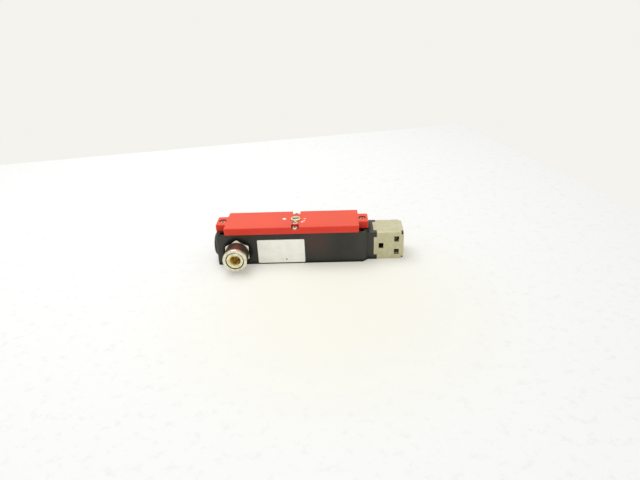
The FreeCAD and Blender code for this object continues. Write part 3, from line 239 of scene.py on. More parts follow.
# Each painted shadow spot: its middle, the distances in mm where it begins and where it is darkest, and how
# dark it is.
for spot, edge, most_at, most in ((under_right_ear, 5.0, 3.8, 0.97), (under_left_ear, 4.6, 4.0, 0.97),
                                  (round_connector, 17.0, 13.4, 0.95)):
    painted_spot_shade = nearness(tree, place, tuple(mm * s for s in spot), edge * mm, most_at * mm, most)
    coated = add(tree, "ShaderNodeMix", {"Factor": painted_spot_shade, 6: coated.outputs[2], 7: linear("0d0c0a")},
                 data_type="RGBA")
link(tree, coated.outputs[2], surface, "Base Color")
# The specular level drops where the nooks are painted dark.
specular_in_shade = add(tree, "ShaderNodeMapRange", {"Value": painted_nook_shade.outputs["Result"], "To Min": full_specular,
                                        "To Max": 0.0})
link(tree, specular_in_shade.outputs["Result"], surface, "Specular IOR Level")
peel = add(tree, "ShaderNodeTexNoise", {"Vector": place, "Scale": 1 / grain_size, "Detail": 2.0})
gloss = add(tree, "ShaderNodeMapRange", {"Value": dust.outputs["Fac"], "To Min": 0.36, "To Max": 0.5})
link(tree, gloss.outputs["Result"], surface, "Roughness")
bump = add(tree, "ShaderNodeBump", {"Height": peel.outputs["Fac"], "Strength": 0.25, "Distance": 0.03 * mm})
link(tree, bump.outputs["Normal"], surface, "Normal")
dress(powder_coat, "housing")

# Cover: a red lid moulded in glass-filled nylon and screwed to the housing over a gasket. The mould's spark
# texture, drawn coarser than the real one so that it shows, scatters the light; the corners and pockets are
# painted a deeper red as shade.
texture_size = 0.4 * mm
red_nylon, tree, surface, place = finish_of("red_filled_nylon", {
    "Specular IOR Level": 0.3, "Sheen Weight": 0.8, "Sheen Tint": linear("ffcf9c"), "Sheen Roughness": 0.4})
cloud = add(tree, "ShaderNodeTexNoise", {"Vector": place, "Scale": 1 / (30 * mm), "Detail": 4.0})
shade = add(tree, "ShaderNodeValToRGB", {"Fac": cloud.outputs["Fac"]})
stops(shade, (0.3, "dc3623"), (0.7, "e53d28"))
# Painted shade: ambient occlusion darkens the corners and pockets towards a deep red.
corner = add(tree, "ShaderNodeAmbientOcclusion", {"Distance": 6 * mm}, samples=8, only_local=True)
painted_pocket_shade = add(tree, "ShaderNodeMapRange", {"Value": corner.outputs["AO"], "From Min": 0.75, "From Max": 0.35,
                                           "To Max": 0.75})
shaded_red = add(tree, "ShaderNodeMix", {"Factor": painted_pocket_shade.outputs["Result"], 6: shade.outputs["Color"],
                                    7: linear("7d1812")}, data_type="RGBA")
link(tree, shaded_red.outputs[2], surface, "Base Color")
spark = add(tree, "ShaderNodeTexNoise", {"Vector": place, "Scale": 1 / texture_size, "Detail": 3.0})
bump = add(tree, "ShaderNodeBump", {"Height": spark.outputs["Fac"], "Strength": 0.3, "Distance": 0.02 * mm})
link(tree, bump.outputs["Normal"], surface, "Normal")
gloss = add(tree, "ShaderNodeMapRange", {"Value": cloud.outputs["Fac"], "To Min": 0.38, "To Max": 0.52})
link(tree, gloss.outputs["Result"], surface, "Roughness")
dress(red_nylon, "cover")


# Printed marks on the cover: a white dot left of the release, and right of it a dash and two short
# pieces of an arc. They are pad printed, so each is a thin raised film of matt white ink.
def arc_band(centre, radius, width, start, end, steps=48):
    """A flat band along an arc between two angles in degrees: for each angle, four points at the radius plus
    or minus half the width, at the top and at the bottom of the ink."""
    angle = np.radians(np.linspace(start, end, steps))
    around = np.stack([np.cos(angle), np.sin(angle)], 1)
    inner, outer = radius - width / 2, radius + width / 2
    rails = [(inner, ink_top), (outer, ink_top), (outer, ink_foot), (inner, ink_foot)]
    return np.stack([np.column_stack([centre + r * around, np.full(steps, z)]) for r, z in rails], 1)


def tube_faces(rows, columns):
    """Quads between neighbouring rows of a grid whose columns close on themselves, with flat caps."""
    row = np.arange(rows - 1)[:, None] * columns
    a = row + np.arange(columns)[None, :]
    b = row + (np.arange(columns)[None, :] + 1) % columns
    quads = np.stack([a, b, b + columns, a + columns], -1).reshape(-1, 4).tolist()
    quads.append(list(range(columns))[::-1])
    quads.append(list(range((rows - 1) * columns, rows * columns)))
    return quads


cover_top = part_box("cover")[1].z
release_low, release_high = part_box("release_spindle")
release_axis = np.array([(release_low.x + release_high.x) / 2, 0.0])
ink_foot, ink_top = cover_top - 0.02 * mm, cover_top + 0.05 * mm
dot_centre, dot_radius = np.array([-8.0, 1.0]) * mm, 1.9 * mm
dash_radius = 20 * mm
dash_centre = release_axis + np.array([9.3, -19.7]) * mm
arc_radius = 9.9 * mm
white_ink, tree, surface, place = finish_of("white_pad_ink", {"Roughness": 0.6})
wear = add(tree, "ShaderNodeTexNoise", {"Vector": place, "Scale": 1 / (0.9 * mm), "Detail": 3.0})
shade = add(tree, "ShaderNodeValToRGB", {"Fac": wear.outputs["Fac"]})
stops(shade, (0.0, "e6ddd6"), (1.0, "fbf9f5"))
link(tree, shade.outputs["Color"], surface, "Base Color")
around = np.radians(np.arange(0, 360, 7.5))
dot_rim = dot_centre + dot_radius * np.stack([np.cos(around), np.sin(around)], 1)
dot = np.stack([np.column_stack([dot_rim, np.full(len(around), z)]) for z in (ink_foot, ink_top)])
dash = arc_band(dash_centre, dash_radius, 1.0 * mm, 86.2, 93.8)
arc = arc_band(release_axis, arc_radius, 1.2 * mm, -34, -21)
tick = arc_band(release_axis, arc_radius, 1.7 * mm, -53, -40)
for mark_name, points in (("printed_dot", dot), ("printed_dash", dash), ("printed_arc", arc),
                          ("printed_tick", tick)):
    mark = mesh_of(mark_name, points, tube_faces(*points.shape[:2]), white_ink)
    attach(mark, "housing")

# Cover gasket, release O-ring, connector seal, head gasket and plunger seal, each pressed between its parts.
# All are moulded nitrile rubber: near black, soft sheen, a faint bloom on the surface.
nitrile, tree, surface, place = finish_of("moulded_nitrile", {"Roughness": 0.62})
bloom = add(tree, "ShaderNodeTexNoise", {"Vector": place, "Scale": 1 / (3 * mm), "Detail": 4.0})
shade = add(tree, "ShaderNodeValToRGB", {"Fac": bloom.outputs["Fac"]})
stops(shade, (0.0, "191919"), (1.0, "2f2e2c"))
link(tree, shade.outputs["Color"], surface, "Base Color")
dress(nitrile, "cover_gasket", "release_o_ring", "connector_seal", "head_gasket", "plunger_seal")

# Washer of the blind plug: the same kind of rubber, squeezed between the plug and the casting.
# Age has bloomed it to a dull pale grey.
bloomed, tree, surface, place = finish_of("bloomed_rubber", {"Roughness": 0.7})
powder = add(tree, "ShaderNodeTexNoise", {"Vector": place, "Scale": 1 / (2 * mm), "Detail": 4.0})
shade = add(tree, "ShaderNodeValToRGB", {"Fac": powder.outputs["Fac"]})
stops(shade, (0.0, "77776e"), (1.0, "a3a398"))
link(tree, shade.outputs["Color"], surface, "Base Color")
dress(bloomed, "blind_plug_seal")

# Cover screws, board screws, frame screws, lock screw and the release's clip: steel, zinc plated.
# The pan heads are cold headed with a cross recess. Plating gives a soft bright metal; the recess is painted
# dark as shade.
zinc_plate, tree, surface, place = finish_of("zinc_plated_steel", {"Metallic": 1.0})
cloud = add(tree, "ShaderNodeTexNoise", {"Vector": place, "Scale": 1 / (1.5 * mm), "Detail": 4.0})
shade = add(tree, "ShaderNodeValToRGB", {"Fac": cloud.outputs["Fac"]})
stops(shade, (0.0, "bfbca8"), (1.0, "ebe8da"))
# Painted shade: ambient occlusion darkens the cross recess.
recess = add(tree, "ShaderNodeAmbientOcclusion", {"Distance": 1.2 * mm}, samples=8, only_local=True)
painted_recess_shade = add(tree, "ShaderNodeMapRange", {"Value": recess.outputs["AO"], "From Min": 0.8, "From Max": 0.45})
shaded_plating = add(tree, "ShaderNodeMix", {"Factor": painted_recess_shade.outputs["Result"], 6: shade.outputs["Color"],
                                    7: linear("35322a")}, data_type="RGBA")
link(tree, shaded_plating.outputs[2], surface, "Base Color")
gloss = add(tree, "ShaderNodeMapRange", {"Value": cloud.outputs["Fac"], "To Min": 0.22, "To Max": 0.42})
link(tree, gloss.outputs["Result"], surface, "Roughness")
dress(zinc_plate, "cover_screws", "board_screws", "frame_screws", "release_lock_screw", "release_clip")

# Head screws and control drum: turned or sintered steel, blackened in hot oxide and oiled.
# The oxide is a thin blue-black skin over the metal, worn grey at the recess.
oxide, tree, surface, place = finish_of("black_oxide_screws", {"Metallic": 0.6, "Roughness": 0.4})
worn = add(tree, "ShaderNodeTexNoise", {"Vector": place, "Scale": 1 / (0.9 * mm), "Detail": 3.0})
shade = add(tree, "ShaderNodeValToRGB", {"Fac": worn.outputs["Fac"]})
stops(shade, (0.0, "17171a"), (0.8, "3d3c3a"))
link(tree, shade.outputs["Color"], surface, "Base Color")
dress(oxide, "head_screws", "control_drum")

# Auxiliary release: a slotted spindle turned from brass and nickel plated, sealed by an O-ring and held by a
# clip under the cover.
# Nickel gives a warm bright white metal with fine scratches; the slot and a band along it are painted dark
# brown as shade.
slot_turn = math.tan(math.radians(8))
slot_reach = 3.3 * mm
nickel, tree, surface, place = finish_of("nickel_plated_brass", {"Metallic": 1.0})
cloud = add(tree, "ShaderNodeTexNoise", {"Vector": place, "Scale": 1 / (2.2 * mm), "Detail": 5.0})
shade = add(tree, "ShaderNodeValToRGB", {"Fac": cloud.outputs["Fac"]})
stops(shade, (0.3, "d6d2aa"), (0.6, "f4f1d2"))
# Painted shade: ambient occlusion browns the slot's walls.
slot_walls = add(tree, "ShaderNodeAmbientOcclusion", {"Distance": 1.6 * mm}, samples=8, only_local=True)
painted_slot_shade = add(tree, "ShaderNodeMapRange", {"Value": slot_walls.outputs["AO"], "From Min": 0.94,
                                            "From Max": 0.66})
shaded_slot = add(tree, "ShaderNodeMix", {"Factor": painted_slot_shade.outputs["Result"], 6: shade.outputs["Color"],
                                         7: linear("3c321a")}, data_type="RGBA")
# Painted shade: a dark brown line along the slot, a little wider than it, within the disc.
split = add(tree, "ShaderNodeSeparateXYZ", {0: place})
in_plan = add(tree, "ShaderNodeCombineXYZ", {"X": split.outputs["X"], "Y": split.outputs["Y"]})
off_axis = add(tree, "ShaderNodeVectorMath", {0: in_plan.outputs["Vector"], 1: (*release_axis, 0.0)},
               operation="DISTANCE")
within = add(tree, "ShaderNodeMath", {0: off_axis.outputs["Value"], 1: slot_reach}, operation="LESS_THAN")
from_line = add(tree, "ShaderNodeMath", {0: split.outputs["X"], 1: -slot_turn,
                                         2: slot_turn * release_axis[0]}, operation="MULTIPLY_ADD")
from_line = add(tree, "ShaderNodeMath", {0: from_line.outputs[0], 1: split.outputs["Y"]}, operation="ADD")
from_line = add(tree, "ShaderNodeMath", {0: from_line.outputs[0]}, operation="ABSOLUTE")
beside = add(tree, "ShaderNodeMapRange", {"Value": from_line.outputs[0], "From Min": 1.7 * mm,
                                          "From Max": 1.1 * mm, "To Max": 0.85})
slot_line_shade = add(tree, "ShaderNodeMath", {0: within.outputs[0], 1: beside.outputs["Result"]},
                operation="MULTIPLY")
darkened = add(tree, "ShaderNodeMix", {"Factor": slot_line_shade.outputs[0], 6: shaded_slot.outputs[2],
                                     7: linear("3a3018")}, data_type="RGBA")
link(tree, darkened.outputs[2], surface, "Base Color")
scratch = add(tree, "ShaderNodeTexNoise", {"Vector": place, "Scale": 1 / (0.35 * mm), "Detail": 3.0})
gloss = add(tree, "ShaderNodeMapRange", {"Value": scratch.outputs["Fac"], "To Min": 0.14, "To Max": 0.32})
link(tree, gloss.outputs["Result"], surface, "Roughness")
dress(nickel, "release_spindle")


# Receptacle of the connector: brass, turned with a hexagon for the wrench and a fine thread, nickel plated
# and screwed into the housing. Oil has browned the thread, which mirrors the black housing, and the gap of
# the ring is painted dark in patches as shade; the front ring is bright.
def spun(profile, centre, axis, side, radius_at, around=240):
    """A turned surface: each row of the profile, a distance along and a radius, is spun about an axis, and a
    function of distance, radius and angle may change the radius. The last row joins the first, so the surface
    is closed."""
    angle = np.linspace(0, 2 * math.pi, around, endpoint=False)
    along, radius = profile[:, :1], profile[:, 1:]
    radius = radius_at(along, radius, angle[None, :])
    along = np.broadcast_to(along, radius.shape)
    third = np.cross(axis, side)
    points = (np.array(centre) + along[..., None] * axis
              + (radius * np.cos(angle))[..., None] * side + (radius * np.sin(angle))[..., None] * third)
    rows = len(profile)
    start = np.arange(rows)[:, None] * around
    after = ((np.arange(rows) + 1) % rows)[:, None] * around
    column, turn = np.arange(around)[None, :], (np.arange(around)[None, :] + 1) % around
    faces = np.stack([start + column, start + turn, after + turn, after + column], -1).reshape(-1, 4)
    return points, faces


def closed_outline(*corners):
    """A closed profile through corners, each a distance, a radius and the number of steps to the next one:
    the points between two corners are evenly spaced, and the last corner leads back to the first."""
    runs = []
    for (*start, steps), (*end, _) in zip(corners, corners[1:] + corners[:1]):
        share = np.arange(steps)[:, None] / steps
        runs.append(np.array(start) * (1 - share) + np.array(end) * share)
    return np.concatenate(runs)


shell_low, shell_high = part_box("connector_shell")
wall_y = -20 * mm
receptacle_centre = ((shell_low.x + shell_high.x) / 2, wall_y, (shell_low.z + shell_high.z) / 2)
flats, hex_corner, base_start, base_end = 23.6 * mm, 13.2 * mm, 0.6 * mm, 4.2 * mm
barrel, thread_pitch, thread_depth = 11.75 * mm, 1.0 * mm, 0.012 * mm
thread_start, thread_end = 6.5 * mm, 18.0 * mm
ring, front, bore, bore_seat, core = 11.9 * mm, 21 * mm, 8.9 * mm, 4.7 * mm, 5.52 * mm
neck, back = 9.6 * mm, -7 * mm
sleeve_radius = 8.5 * mm
ring_start = thread_end + 1.1 * mm
hair = 0.001 * mm


def hexagon_and_thread(along, radius, angle):
    """Inside the base the radius is that of a hexagon with a corner up, cut by the turned cone; on the barrel
    a cosine of (distance / pitch - angle / full turn) makes the thread, faded in and out at its ends."""
    from_flat = (angle + math.pi / 6) % (math.pi / 3) - math.pi / 6
    hexagon = flats / 2 / np.cos(from_flat)
    in_base = (along > base_start - hair) & (along < base_end + hair) & (radius > flats / 2 - hair)
    fade = np.clip((along - thread_start) / mm, 0, 1) * np.clip((thread_end - along) / mm, 0, 1)
    on_barrel = (np.abs(radius - barrel) < hair) * fade
    wave = np.cos(2 * math.pi * along / thread_pitch - angle)
    return np.where(in_base, np.minimum(radius, hexagon), radius + on_barrel * thread_depth * (wave - 1))


cone = hex_corner - flats / 2
# The outline starts inside at the back, runs out over the neck, the hexagon, the threaded barrel, a narrow
# groove and the ring, whose edge is rounded in two steps, and goes back down the bore to its seat.
receptacle_profile = closed_outline(
    (back, core, 1), (back, neck, 2), (base_start, neck, 2), (base_start, hex_corner, 4),
    (base_end - cone, hex_corner, 6), (base_end, flats / 2, 1), (base_end, barrel, 110),
    (thread_end, barrel, 1), (thread_end + 0.4 * mm, barrel - 0.3 * mm, 2),
    (thread_end + 0.9 * mm, ring - 0.2 * mm, 1), (ring_start, ring, 3), (front - 0.5 * mm, ring, 1),
    (front - 0.12 * mm, ring - 0.14 * mm, 1), (front, ring - 0.5 * mm, 4), (front, bore + 0.3 * mm, 1),
    (front - 0.3 * mm, bore, 3), (bore_seat, bore, 1), (bore_seat, core, 3))
points, faces = spun(receptacle_profile, receptacle_centre, np.array([0, -1.0, 0]), np.array([1.0, 0, 0]),
                     hexagon_and_thread)
plated_shell, tree, surface, place = finish_of("nickel_plated_shell", {"Metallic": 1.0})
stain = add(tree, "ShaderNodeTexNoise", {"Vector": place, "Scale": 1 / (3 * mm), "Detail": 5.0})
shade = add(tree, "ShaderNodeValToRGB", {"Fac": stain.outputs["Fac"]})
stops(shade, (0.3, "c9c3a4"), (0.6, "e9e5cf"))
split = add(tree, "ShaderNodeSeparateXYZ", {0: place})
ring_y, base_y = wall_y - thread_end, wall_y - base_end
off_ring = add(tree, "ShaderNodeMapRange", {"Value": split.outputs["Y"], "From Min": ring_y - 0.3 * mm,
                                            "From Max": ring_y + 0.5 * mm})
off_base = add(tree, "ShaderNodeMapRange", {"Value": split.outputs["Y"], "From Min": base_y + 0.1 * mm,
                                            "From Max": base_y - 0.3 * mm})
oiled = add(tree, "ShaderNodeMath", {0: off_ring.outputs["Result"], 1: off_base.outputs["Result"]},
            operation="MULTIPLY")
browned = add(tree, "ShaderNodeMix", {"Factor": oiled.outputs[0], 6: shade.outputs["Color"],
                                      7: linear("8a7668")}, data_type="RGBA")
across = add(tree, "ShaderNodeCombineXYZ", {"X": split.outputs["X"], "Z": split.outputs["Z"]})
axis_point = (receptacle_centre[0], 0.0, receptacle_centre[2])
off_axis = add(tree, "ShaderNodeVectorMath", {0: across.outputs["Vector"], 1: axis_point},
               operation="DISTANCE")
# Painted shade: the gap between the bore and the sleeve is darkened in patches.
gap_middle, half_gap = (bore + sleeve_radius) / 2, 0.34 * mm
in_gap = add(tree, "ShaderNodeMath", {0: off_axis.outputs["Value"], 1: gap_middle, 2: half_gap},
             operation="COMPARE")
patches = add(tree, "ShaderNodeMapRange", {"Value": stain.outputs["Fac"], "From Min": 0.4, "From Max": 0.5,
                                           "To Min": 0.95, "To Max": 0.5})
painted_gap_shade = add(tree, "ShaderNodeMath", {0: in_gap.outputs[0], 1: patches.outputs["Result"]}, operation="MULTIPLY")
darkened = add(tree, "ShaderNodeMix", {"Factor": painted_gap_shade.outputs[0], 6: browned.outputs[2], 7: linear("2c2b20")},
             data_type="RGBA")
link(tree, darkened.outputs[2], surface, "Base Color")
skin = add(tree, "ShaderNodeMapRange", {"Value": oiled.outputs[0], "To Min": 1.0, "To Max": 0.84})
link(tree, skin.outputs["Result"], surface, "Metallic")
rub = add(tree, "ShaderNodeTexNoise", {"Vector": place, "Scale": 1 / (0.5 * mm), "Detail": 3.0})
gloss = add(tree, "ShaderNodeMapRange", {"Value": rub.outputs["Fac"], "To Min": 0.1, "To Max": 0.26})
link(tree, gloss.outputs["Result"], surface, "Roughness")
receptacle = mesh_of("receptacle", points, faces, plated_shell)
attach(receptacle, "housing")
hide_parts("connector_shell")
dress(plated_shell, "connector_sleeve")

# Type plate: a blank polyester film, die cut and glued on the front face.
# The film is a satin white with faint yellowing, blotches and one speck of dirt.
label_film, tree, surface, place = finish_of("satin_label_film", {"Roughness": 0.38})
blotch = add(tree, "ShaderNodeTexNoise", {"Vector": place, "Scale": 1 / (7 * mm), "Detail": 5.0})
shade = add(tree, "ShaderNodeValToRGB", {"Fac": blotch.outputs["Fac"]})
stops(shade, (0.3, "f3f4e3"), (0.62, "fcfcf1"))
speck_place = (-6.2 * mm, wall_y - 0.2 * mm, 5.0 * mm)
speck = nearness(tree, place, speck_place, 1.0 * mm, 0.5 * mm, fall="LINEAR")
darkened = add(tree, "ShaderNodeMix", {"Factor": speck, 6: shade.outputs["Color"], 7: linear("64645a")},
             data_type="RGBA")
link(tree, darkened.outputs[2], surface, "Base Color")
dress(label_film, "type_label")

# Head: a zinc casting, machined and plated zinc-nickel, that holds the drum and takes the tongue.
# The plating gives a warm grey-green satin with mottling a few millimetres wide.
head_plate, tree, surface, place = finish_of("zinc_nickel_casting", {"Metallic": 0.5, "Sheen Weight": 0.25,
                                                                     "Sheen Roughness": 0.4})
mottle = add(tree, "ShaderNodeTexNoise", {"Vector": place, "Scale": 1 / (4 * mm), "Detail": 6.0,
                                          "Roughness": 0.65})
shade = add(tree, "ShaderNodeValToRGB", {"Fac": mottle.outputs["Fac"]})
stops(shade, (0.3, "bab48e"), (0.65, "ccc7a6"))
link(tree, shade.outputs["Color"], surface, "Base Color")
gloss = add(tree, "ShaderNodeMapRange", {"Value": mottle.outputs["Fac"], "To Min": 0.33, "To Max": 0.5})
link(tree, gloss.outputs["Result"], surface, "Roughness")
pit = add(tree, "ShaderNodeTexNoise", {"Vector": place, "Scale": 1 / (0.5 * mm), "Detail": 2.0})
bump = add(tree, "ShaderNodeBump", {"Height": pit.outputs["Fac"], "Strength": 0.2, "Distance": 0.02 * mm})
link(tree, bump.outputs["Normal"], surface, "Normal")
dress(head_plate, "head_shell")

# Connector insert: an insulator turned from amber polymer that carries the contacts, pressed into the
# receptacle. It lets a little light in, so its cup glows orange; its depth, its right side and a spot at its
# foot are painted dark as shade.
amber, tree, surface, place = finish_of("amber_insulator", {
    "Roughness": 0.3, "Subsurface Weight": 0.25, "Subsurface Scale": 2 * mm,
    "Subsurface Radius": (1.0, 0.6, 0.2)})
swirl = add(tree, "ShaderNodeTexNoise", {"Vector": place, "Scale": 1 / (2 * mm), "Detail": 3.0})
shade = add(tree, "ShaderNodeValToRGB", {"Fac": swirl.outputs["Fac"]})
stops(shade, (0.0, "f4c238"), (1.0, "ffe67c"))
# Painted shade: ambient occlusion darkens the cup's depth towards brown.
depth = add(tree, "ShaderNodeAmbientOcclusion", {"Distance": 3 * mm}, samples=8)
painted_depth_shade = add(tree, "ShaderNodeMapRange", {"Value": depth.outputs["AO"], "From Min": 0.6, "From Max": 0.15,
                                          "To Max": 0.8})
shaded_amber = add(tree, "ShaderNodeMix", {"Factor": painted_depth_shade.outputs["Result"], 6: shade.outputs["Color"],
                                   7: linear("5c4420")}, data_type="RGBA")
cup_right_shadow, cup_foot_shadow = (-49.8, -39, 15.8), (-56.0, -35.3, 10.4)
# Each painted shadow spot: its middle, the distances in mm where it begins and is darkest, how dark, and its
# colour.
for spot, edge, most_at, most, shadow_colour in ((cup_right_shadow, 5.8, 4.3, 0.93, "241b0c"),
                                        (cup_foot_shadow, 3.0, 1.6, 0.8, "5a5348")):
    painted_cup_shadow = nearness(tree, place, tuple(mm * s for s in spot), edge * mm, most_at * mm, most, "LINEAR")
    shaded_amber = add(tree, "ShaderNodeMix", {"Factor": painted_cup_shadow, 6: shaded_amber.outputs[2], 7: linear(shadow_colour)},
               data_type="RGBA")
link(tree, shaded_amber.outputs[2], surface, "Base Color")
dress(amber, "connector_insert")

# Contact pins and fixed contacts: turned brass with a flash of gold, pressed into their insulators.
# The thin gold has dulled to a pale yellow-grey with patches under a millimetre wide.
gold, tree, surface, place = finish_of("gold_flashed_brass", {"Metallic": 1.0, "Roughness": 0.25})
tarnish = add(tree, "ShaderNodeTexNoise", {"Vector": place, "Scale": 1 / (0.8 * mm), "Detail": 3.0})
shade = add(tree, "ShaderNodeValToRGB", {"Fac": tarnish.outputs["Fac"]})
stops(shade, (0.0, "9c8a5c"), (1.0, "cbb98c"))
link(tree, shade.outputs["Color"], surface, "Base Color")
dress(gold, "connector_pins", "fixed_contacts", "monitor_contacts")

# Steel parts of the lock and the solenoid: ground, stamped or turned, bare and lightly oiled.
# Bare steel is a neutral grey metal with streaks from grinding, drawn coarse enough to show.
steel, tree, surface, place = finish_of("ground_steel", {"Metallic": 1.0})
lengthways = add(tree, "ShaderNodeMapping", {"Vector": place, "Scale": (0.12, 1.0, 1.0)})
streak = add(tree, "ShaderNodeTexNoise", {"Vector": lengthways.outputs["Vector"], "Scale": 1 / (0.3 * mm),
                                          "Detail": 3.0})
shade = add(tree, "ShaderNodeValToRGB", {"Fac": streak.outputs["Fac"]})
stops(shade, (0.0, "8e9092"), (1.0, "c3c5c6"))
link(tree, shade.outputs["Color"], surface, "Base Color")
gloss = add(tree, "ShaderNodeMapRange", {"Value": streak.outputs["Fac"], "To Min": 0.25, "To Max": 0.45})
link(tree, gloss.outputs["Result"], surface, "Roughness")
dress(steel, "drum_axle", "plunger", "lock_lever", "lever_pin", "mechanism_frame", "solenoid_yoke",
      "fixed_core", "armature", "armature_link", "lock_slider", "slider_pin", "release_leaf_spring")

# Return springs: round spring-steel wire coiled over the plunger's neck and the armature, with the
# end turns closed up. Each sits against its seat in the housing.
wire_radius = 0.35 * mm


def coiled(low, high, turns, steps=64, around=14):
    """A tube carried along a helix. The line runs at the mean radius while its place along X is the running
    sum of a pitch that is small in the end turns; each ring is spanned by the outward way and by the cross
    product of the line's direction and the outward way."""
    share = np.linspace(0, 1, int(turns * steps) + 1)
    angle = 2 * math.pi * turns * share
    ease = np.clip(np.minimum(share, 1 - share) * turns / 0.9, 0, 1)
    pitch = 0.16 + 0.84 * ease * ease * (3 - 2 * ease)
    run = np.concatenate([[0], np.cumsum((pitch[1:] + pitch[:-1]) / 2)])
    along = low.x + wire_radius + (high.x - low.x - 2 * wire_radius) * run / run[-1]
    middle_y, middle_z = (low.y + high.y) / 2, (low.z + high.z) / 2
    mean = (high.z - low.z) / 2 - wire_radius
    outward = np.stack([np.zeros_like(angle), np.cos(angle), np.sin(angle)], 1)
    line = np.stack([along, middle_y + mean * outward[:, 1], middle_z + mean * outward[:, 2]], 1)
    way = np.gradient(line, axis=0)
    way /= np.linalg.norm(way, axis=1)[:, None]
    across = np.cross(way, outward)
    ring_angle = np.linspace(0, 2 * math.pi, around, endpoint=False)[None, :, None]
    round_wire = np.cos(ring_angle) * outward[:, None] + np.sin(ring_angle) * across[:, None]
    return line[:, None] + wire_radius * round_wire


spring_steel, tree, surface, place = finish_of("spring_steel_wire", {"Metallic": 1.0, "Roughness": 0.28})
draw_marks = add(tree, "ShaderNodeTexNoise", {"Vector": place, "Scale": 1 / (0.7 * mm), "Detail": 3.0})
shade = add(tree, "ShaderNodeValToRGB", {"Fac": draw_marks.outputs["Fac"]})
stops(shade, (0.0, "85827b"), (1.0, "b9b8b2"))
link(tree, shade.outputs["Color"], surface, "Base Color")
for node, joint, turns, stroke in (("plunger_spring", "plunger_slide", 5, 5 * mm),
                                   ("armature_spring", "armature_slide", 6, 3.5 * mm)):
    low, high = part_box(node)
    points = coiled(low, high, turns)
    spring = mesh_of(node.replace("_", "_return_"), points, tube_faces(*points.shape[:2]), spring_steel)
    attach(spring, "housing")
    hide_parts(node)
    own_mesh(spring)

# Guide bush of the plunger: sintered bronze, pressed into the end wall.
# Sintering leaves open pores that hold oil: dark pinholes, drawn larger than the real ones so that they show.
bronze, tree, surface, place = finish_of("sintered_bronze", {"Metallic": 1.0, "Roughness": 0.45})
pores = add(tree, "ShaderNodeTexVoronoi", {"Vector": place, "Scale": 1 / (0.35 * mm)})
shade = add(tree, "ShaderNodeValToRGB", {"Fac": pores.outputs["Distance"]})
stops(shade, (0.0, "5e4526"), (0.3, "b98e55"))
link(tree, shade.outputs["Color"], surface, "Base Color")
dress(bronze, "plunger_bush")

# Coil winding: several layers of enamelled copper wire wound side by side on the bobbin.
# Enamel over copper gives a glossy orange-brown, and each turn is a small round ridge.
coil_low, coil_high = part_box("coil_winding")
coil_centre = (0, (coil_low.y + coil_high.y) / 2, (coil_low.z + coil_high.z) / 2)
coil_radius = (coil_high.z - coil_low.z) / 2
coil_bore = 4.65 * mm
wire = 0.55 * mm
coil_steps = 8 * int((coil_high.x - coil_low.x) / wire)


def wound(along, radius, angle):
    """On the outside, the radius less a quarter of a wire plus half the height of a round wire above its
    middle, where the distance across the wire is the remainder of (distance / wire - angle / full turn)."""
    outside = radius > coil_radius - hair
    across_wire = ((along / wire - angle / (2 * math.pi)) % 1.0 - 0.5) * wire
    ridge = np.sqrt(np.maximum((wire / 2) ** 2 - across_wire ** 2, 0))
    fade = np.clip(np.minimum(along - coil_low.x, coil_high.x - along) / (0.4 * mm), 0, 1)
    return np.where(outside, radius - wire / 4 + fade * ridge / 2, radius)


coil_profile = closed_outline((coil_low.x, coil_bore, 2), (coil_low.x, coil_radius, coil_steps),
                              (coil_high.x, coil_radius, 2), (coil_high.x, coil_bore, 2))
points, faces = spun(coil_profile, coil_centre, np.array([1.0, 0, 0]), np.array([0, 1.0, 0]), wound,
                     around=96)
enamel, tree, surface, place = finish_of("enamelled_copper_wire", {
    "Metallic": 1.0, "Roughness": 0.25, "Coat Weight": 0.6, "Coat Roughness": 0.1})
batch = add(tree, "ShaderNodeTexNoise", {"Vector": place, "Scale": 1 / (2.5 * mm), "Detail": 3.0})
shade = add(tree, "ShaderNodeValToRGB", {"Fac": batch.outputs["Fac"]})
stops(shade, (0.0, "8a4420"), (1.0, "c06c35"))
link(tree, shade.outputs["Color"], surface, "Base Color")
winding = mesh_of("winding", points, faces, enamel, smooth_angle=50)
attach(winding, "housing")
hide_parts("coil_winding")

# Contact bridges: bars stamped from copper, clipped to the plunger's rod and the slider, that join the fixed
# contacts. Bare copper is a warm orange metal that has browned in patches.
copper, tree, surface, place = finish_of("browned_copper", {"Metallic": 1.0, "Roughness": 0.32})
brown = add(tree, "ShaderNodeTexNoise", {"Vector": place, "Scale": 1 / (1.8 * mm), "Detail": 4.0})
shade = add(tree, "ShaderNodeValToRGB", {"Fac": brown.outputs["Fac"]})
stops(shade, (0.0, "8f4f2c"), (1.0, "d0875a"))
link(tree, shade.outputs["Color"], surface, "Base Color")
dress(copper, "contact_bridges", "monitor_bridge")

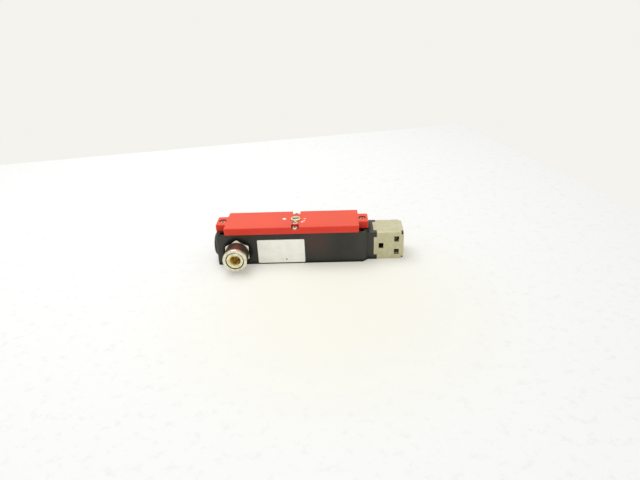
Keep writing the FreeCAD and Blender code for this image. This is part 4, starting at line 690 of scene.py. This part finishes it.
# Coil bobbin, header of the wiring board and blind plug: black glass-filled polyester mouldings.
# The filled plastic is a satin black with faint flow marks.
black_polyester, tree, surface, place = finish_of("black_filled_polyester", {"Roughness": 0.36})
flow = add(tree, "ShaderNodeTexNoise", {"Vector": place, "Scale": 1 / (5 * mm), "Detail": 4.0,
                                        "Distortion": 0.8})
shade = add(tree, "ShaderNodeValToRGB", {"Fac": flow.outputs["Fac"]})
stops(shade, (0.0, "24231f"), (1.0, "33312c"))
link(tree, shade.outputs["Color"], surface, "Base Color")
dress(black_polyester, "bobbin", "board_header", "blind_plug")

# Contact blocks: grey melamine mouldings that stand on the housing's floor and hold the fixed contacts.
# Pressed melamine is a satin mid grey with pale filler specks.
melamine, tree, surface, place = finish_of("grey_melamine", {"Roughness": 0.45})
specks = add(tree, "ShaderNodeTexVoronoi", {"Vector": place, "Scale": 1 / (0.6 * mm)})
shade = add(tree, "ShaderNodeValToRGB", {"Fac": specks.outputs["Distance"]})
stops(shade, (0.0, "b4b6b4"), (0.25, "868a8b"))
link(tree, shade.outputs["Color"], surface, "Base Color")
dress(melamine, "contact_block", "monitor_block")

# Wiring board: glass-epoxy laminate with green solder mask over copper tracks, screwed to the housing.
# Tracks show as lighter lines a little over a millimetre apart.
mask, tree, surface, place = finish_of("green_solder_mask", {"Roughness": 0.3})
track_pitch = 1.27 * mm
tracks = add(tree, "ShaderNodeTexWave", {"Vector": place, "Scale": 1 / track_pitch / (2 * math.pi),
                                         "Distortion": 1.5, "Detail": 1.0})
shade = add(tree, "ShaderNodeValToRGB", {"Fac": tracks.outputs["Fac"]})
stops(shade, (0.55, "0f4a2a"), (0.62, "2a7d48"))
link(tree, shade.outputs["Color"], surface, "Base Color")
dress(mask, "wiring_board")

# Wires: stranded copper in extruded PVC sleeves, soldered or crimped at their ends.
# PVC has a soft waxy gloss and a grey that varies a little along the wire.
sleeve, tree, surface, place = finish_of("pvc_wire_sleeve", {"Roughness": 0.4})
tint = add(tree, "ShaderNodeTexNoise", {"Vector": place, "Scale": 1 / (4 * mm), "Detail": 2.0})
shade = add(tree, "ShaderNodeValToRGB", {"Fac": tint.outputs["Fac"]})
stops(shade, (0.0, "6c6c68"), (1.0, "9a9a94"))
link(tree, shade.outputs["Color"], surface, "Base Color")
dress(sleeve, "connector_wires", "coil_leads", "wiring_harness")
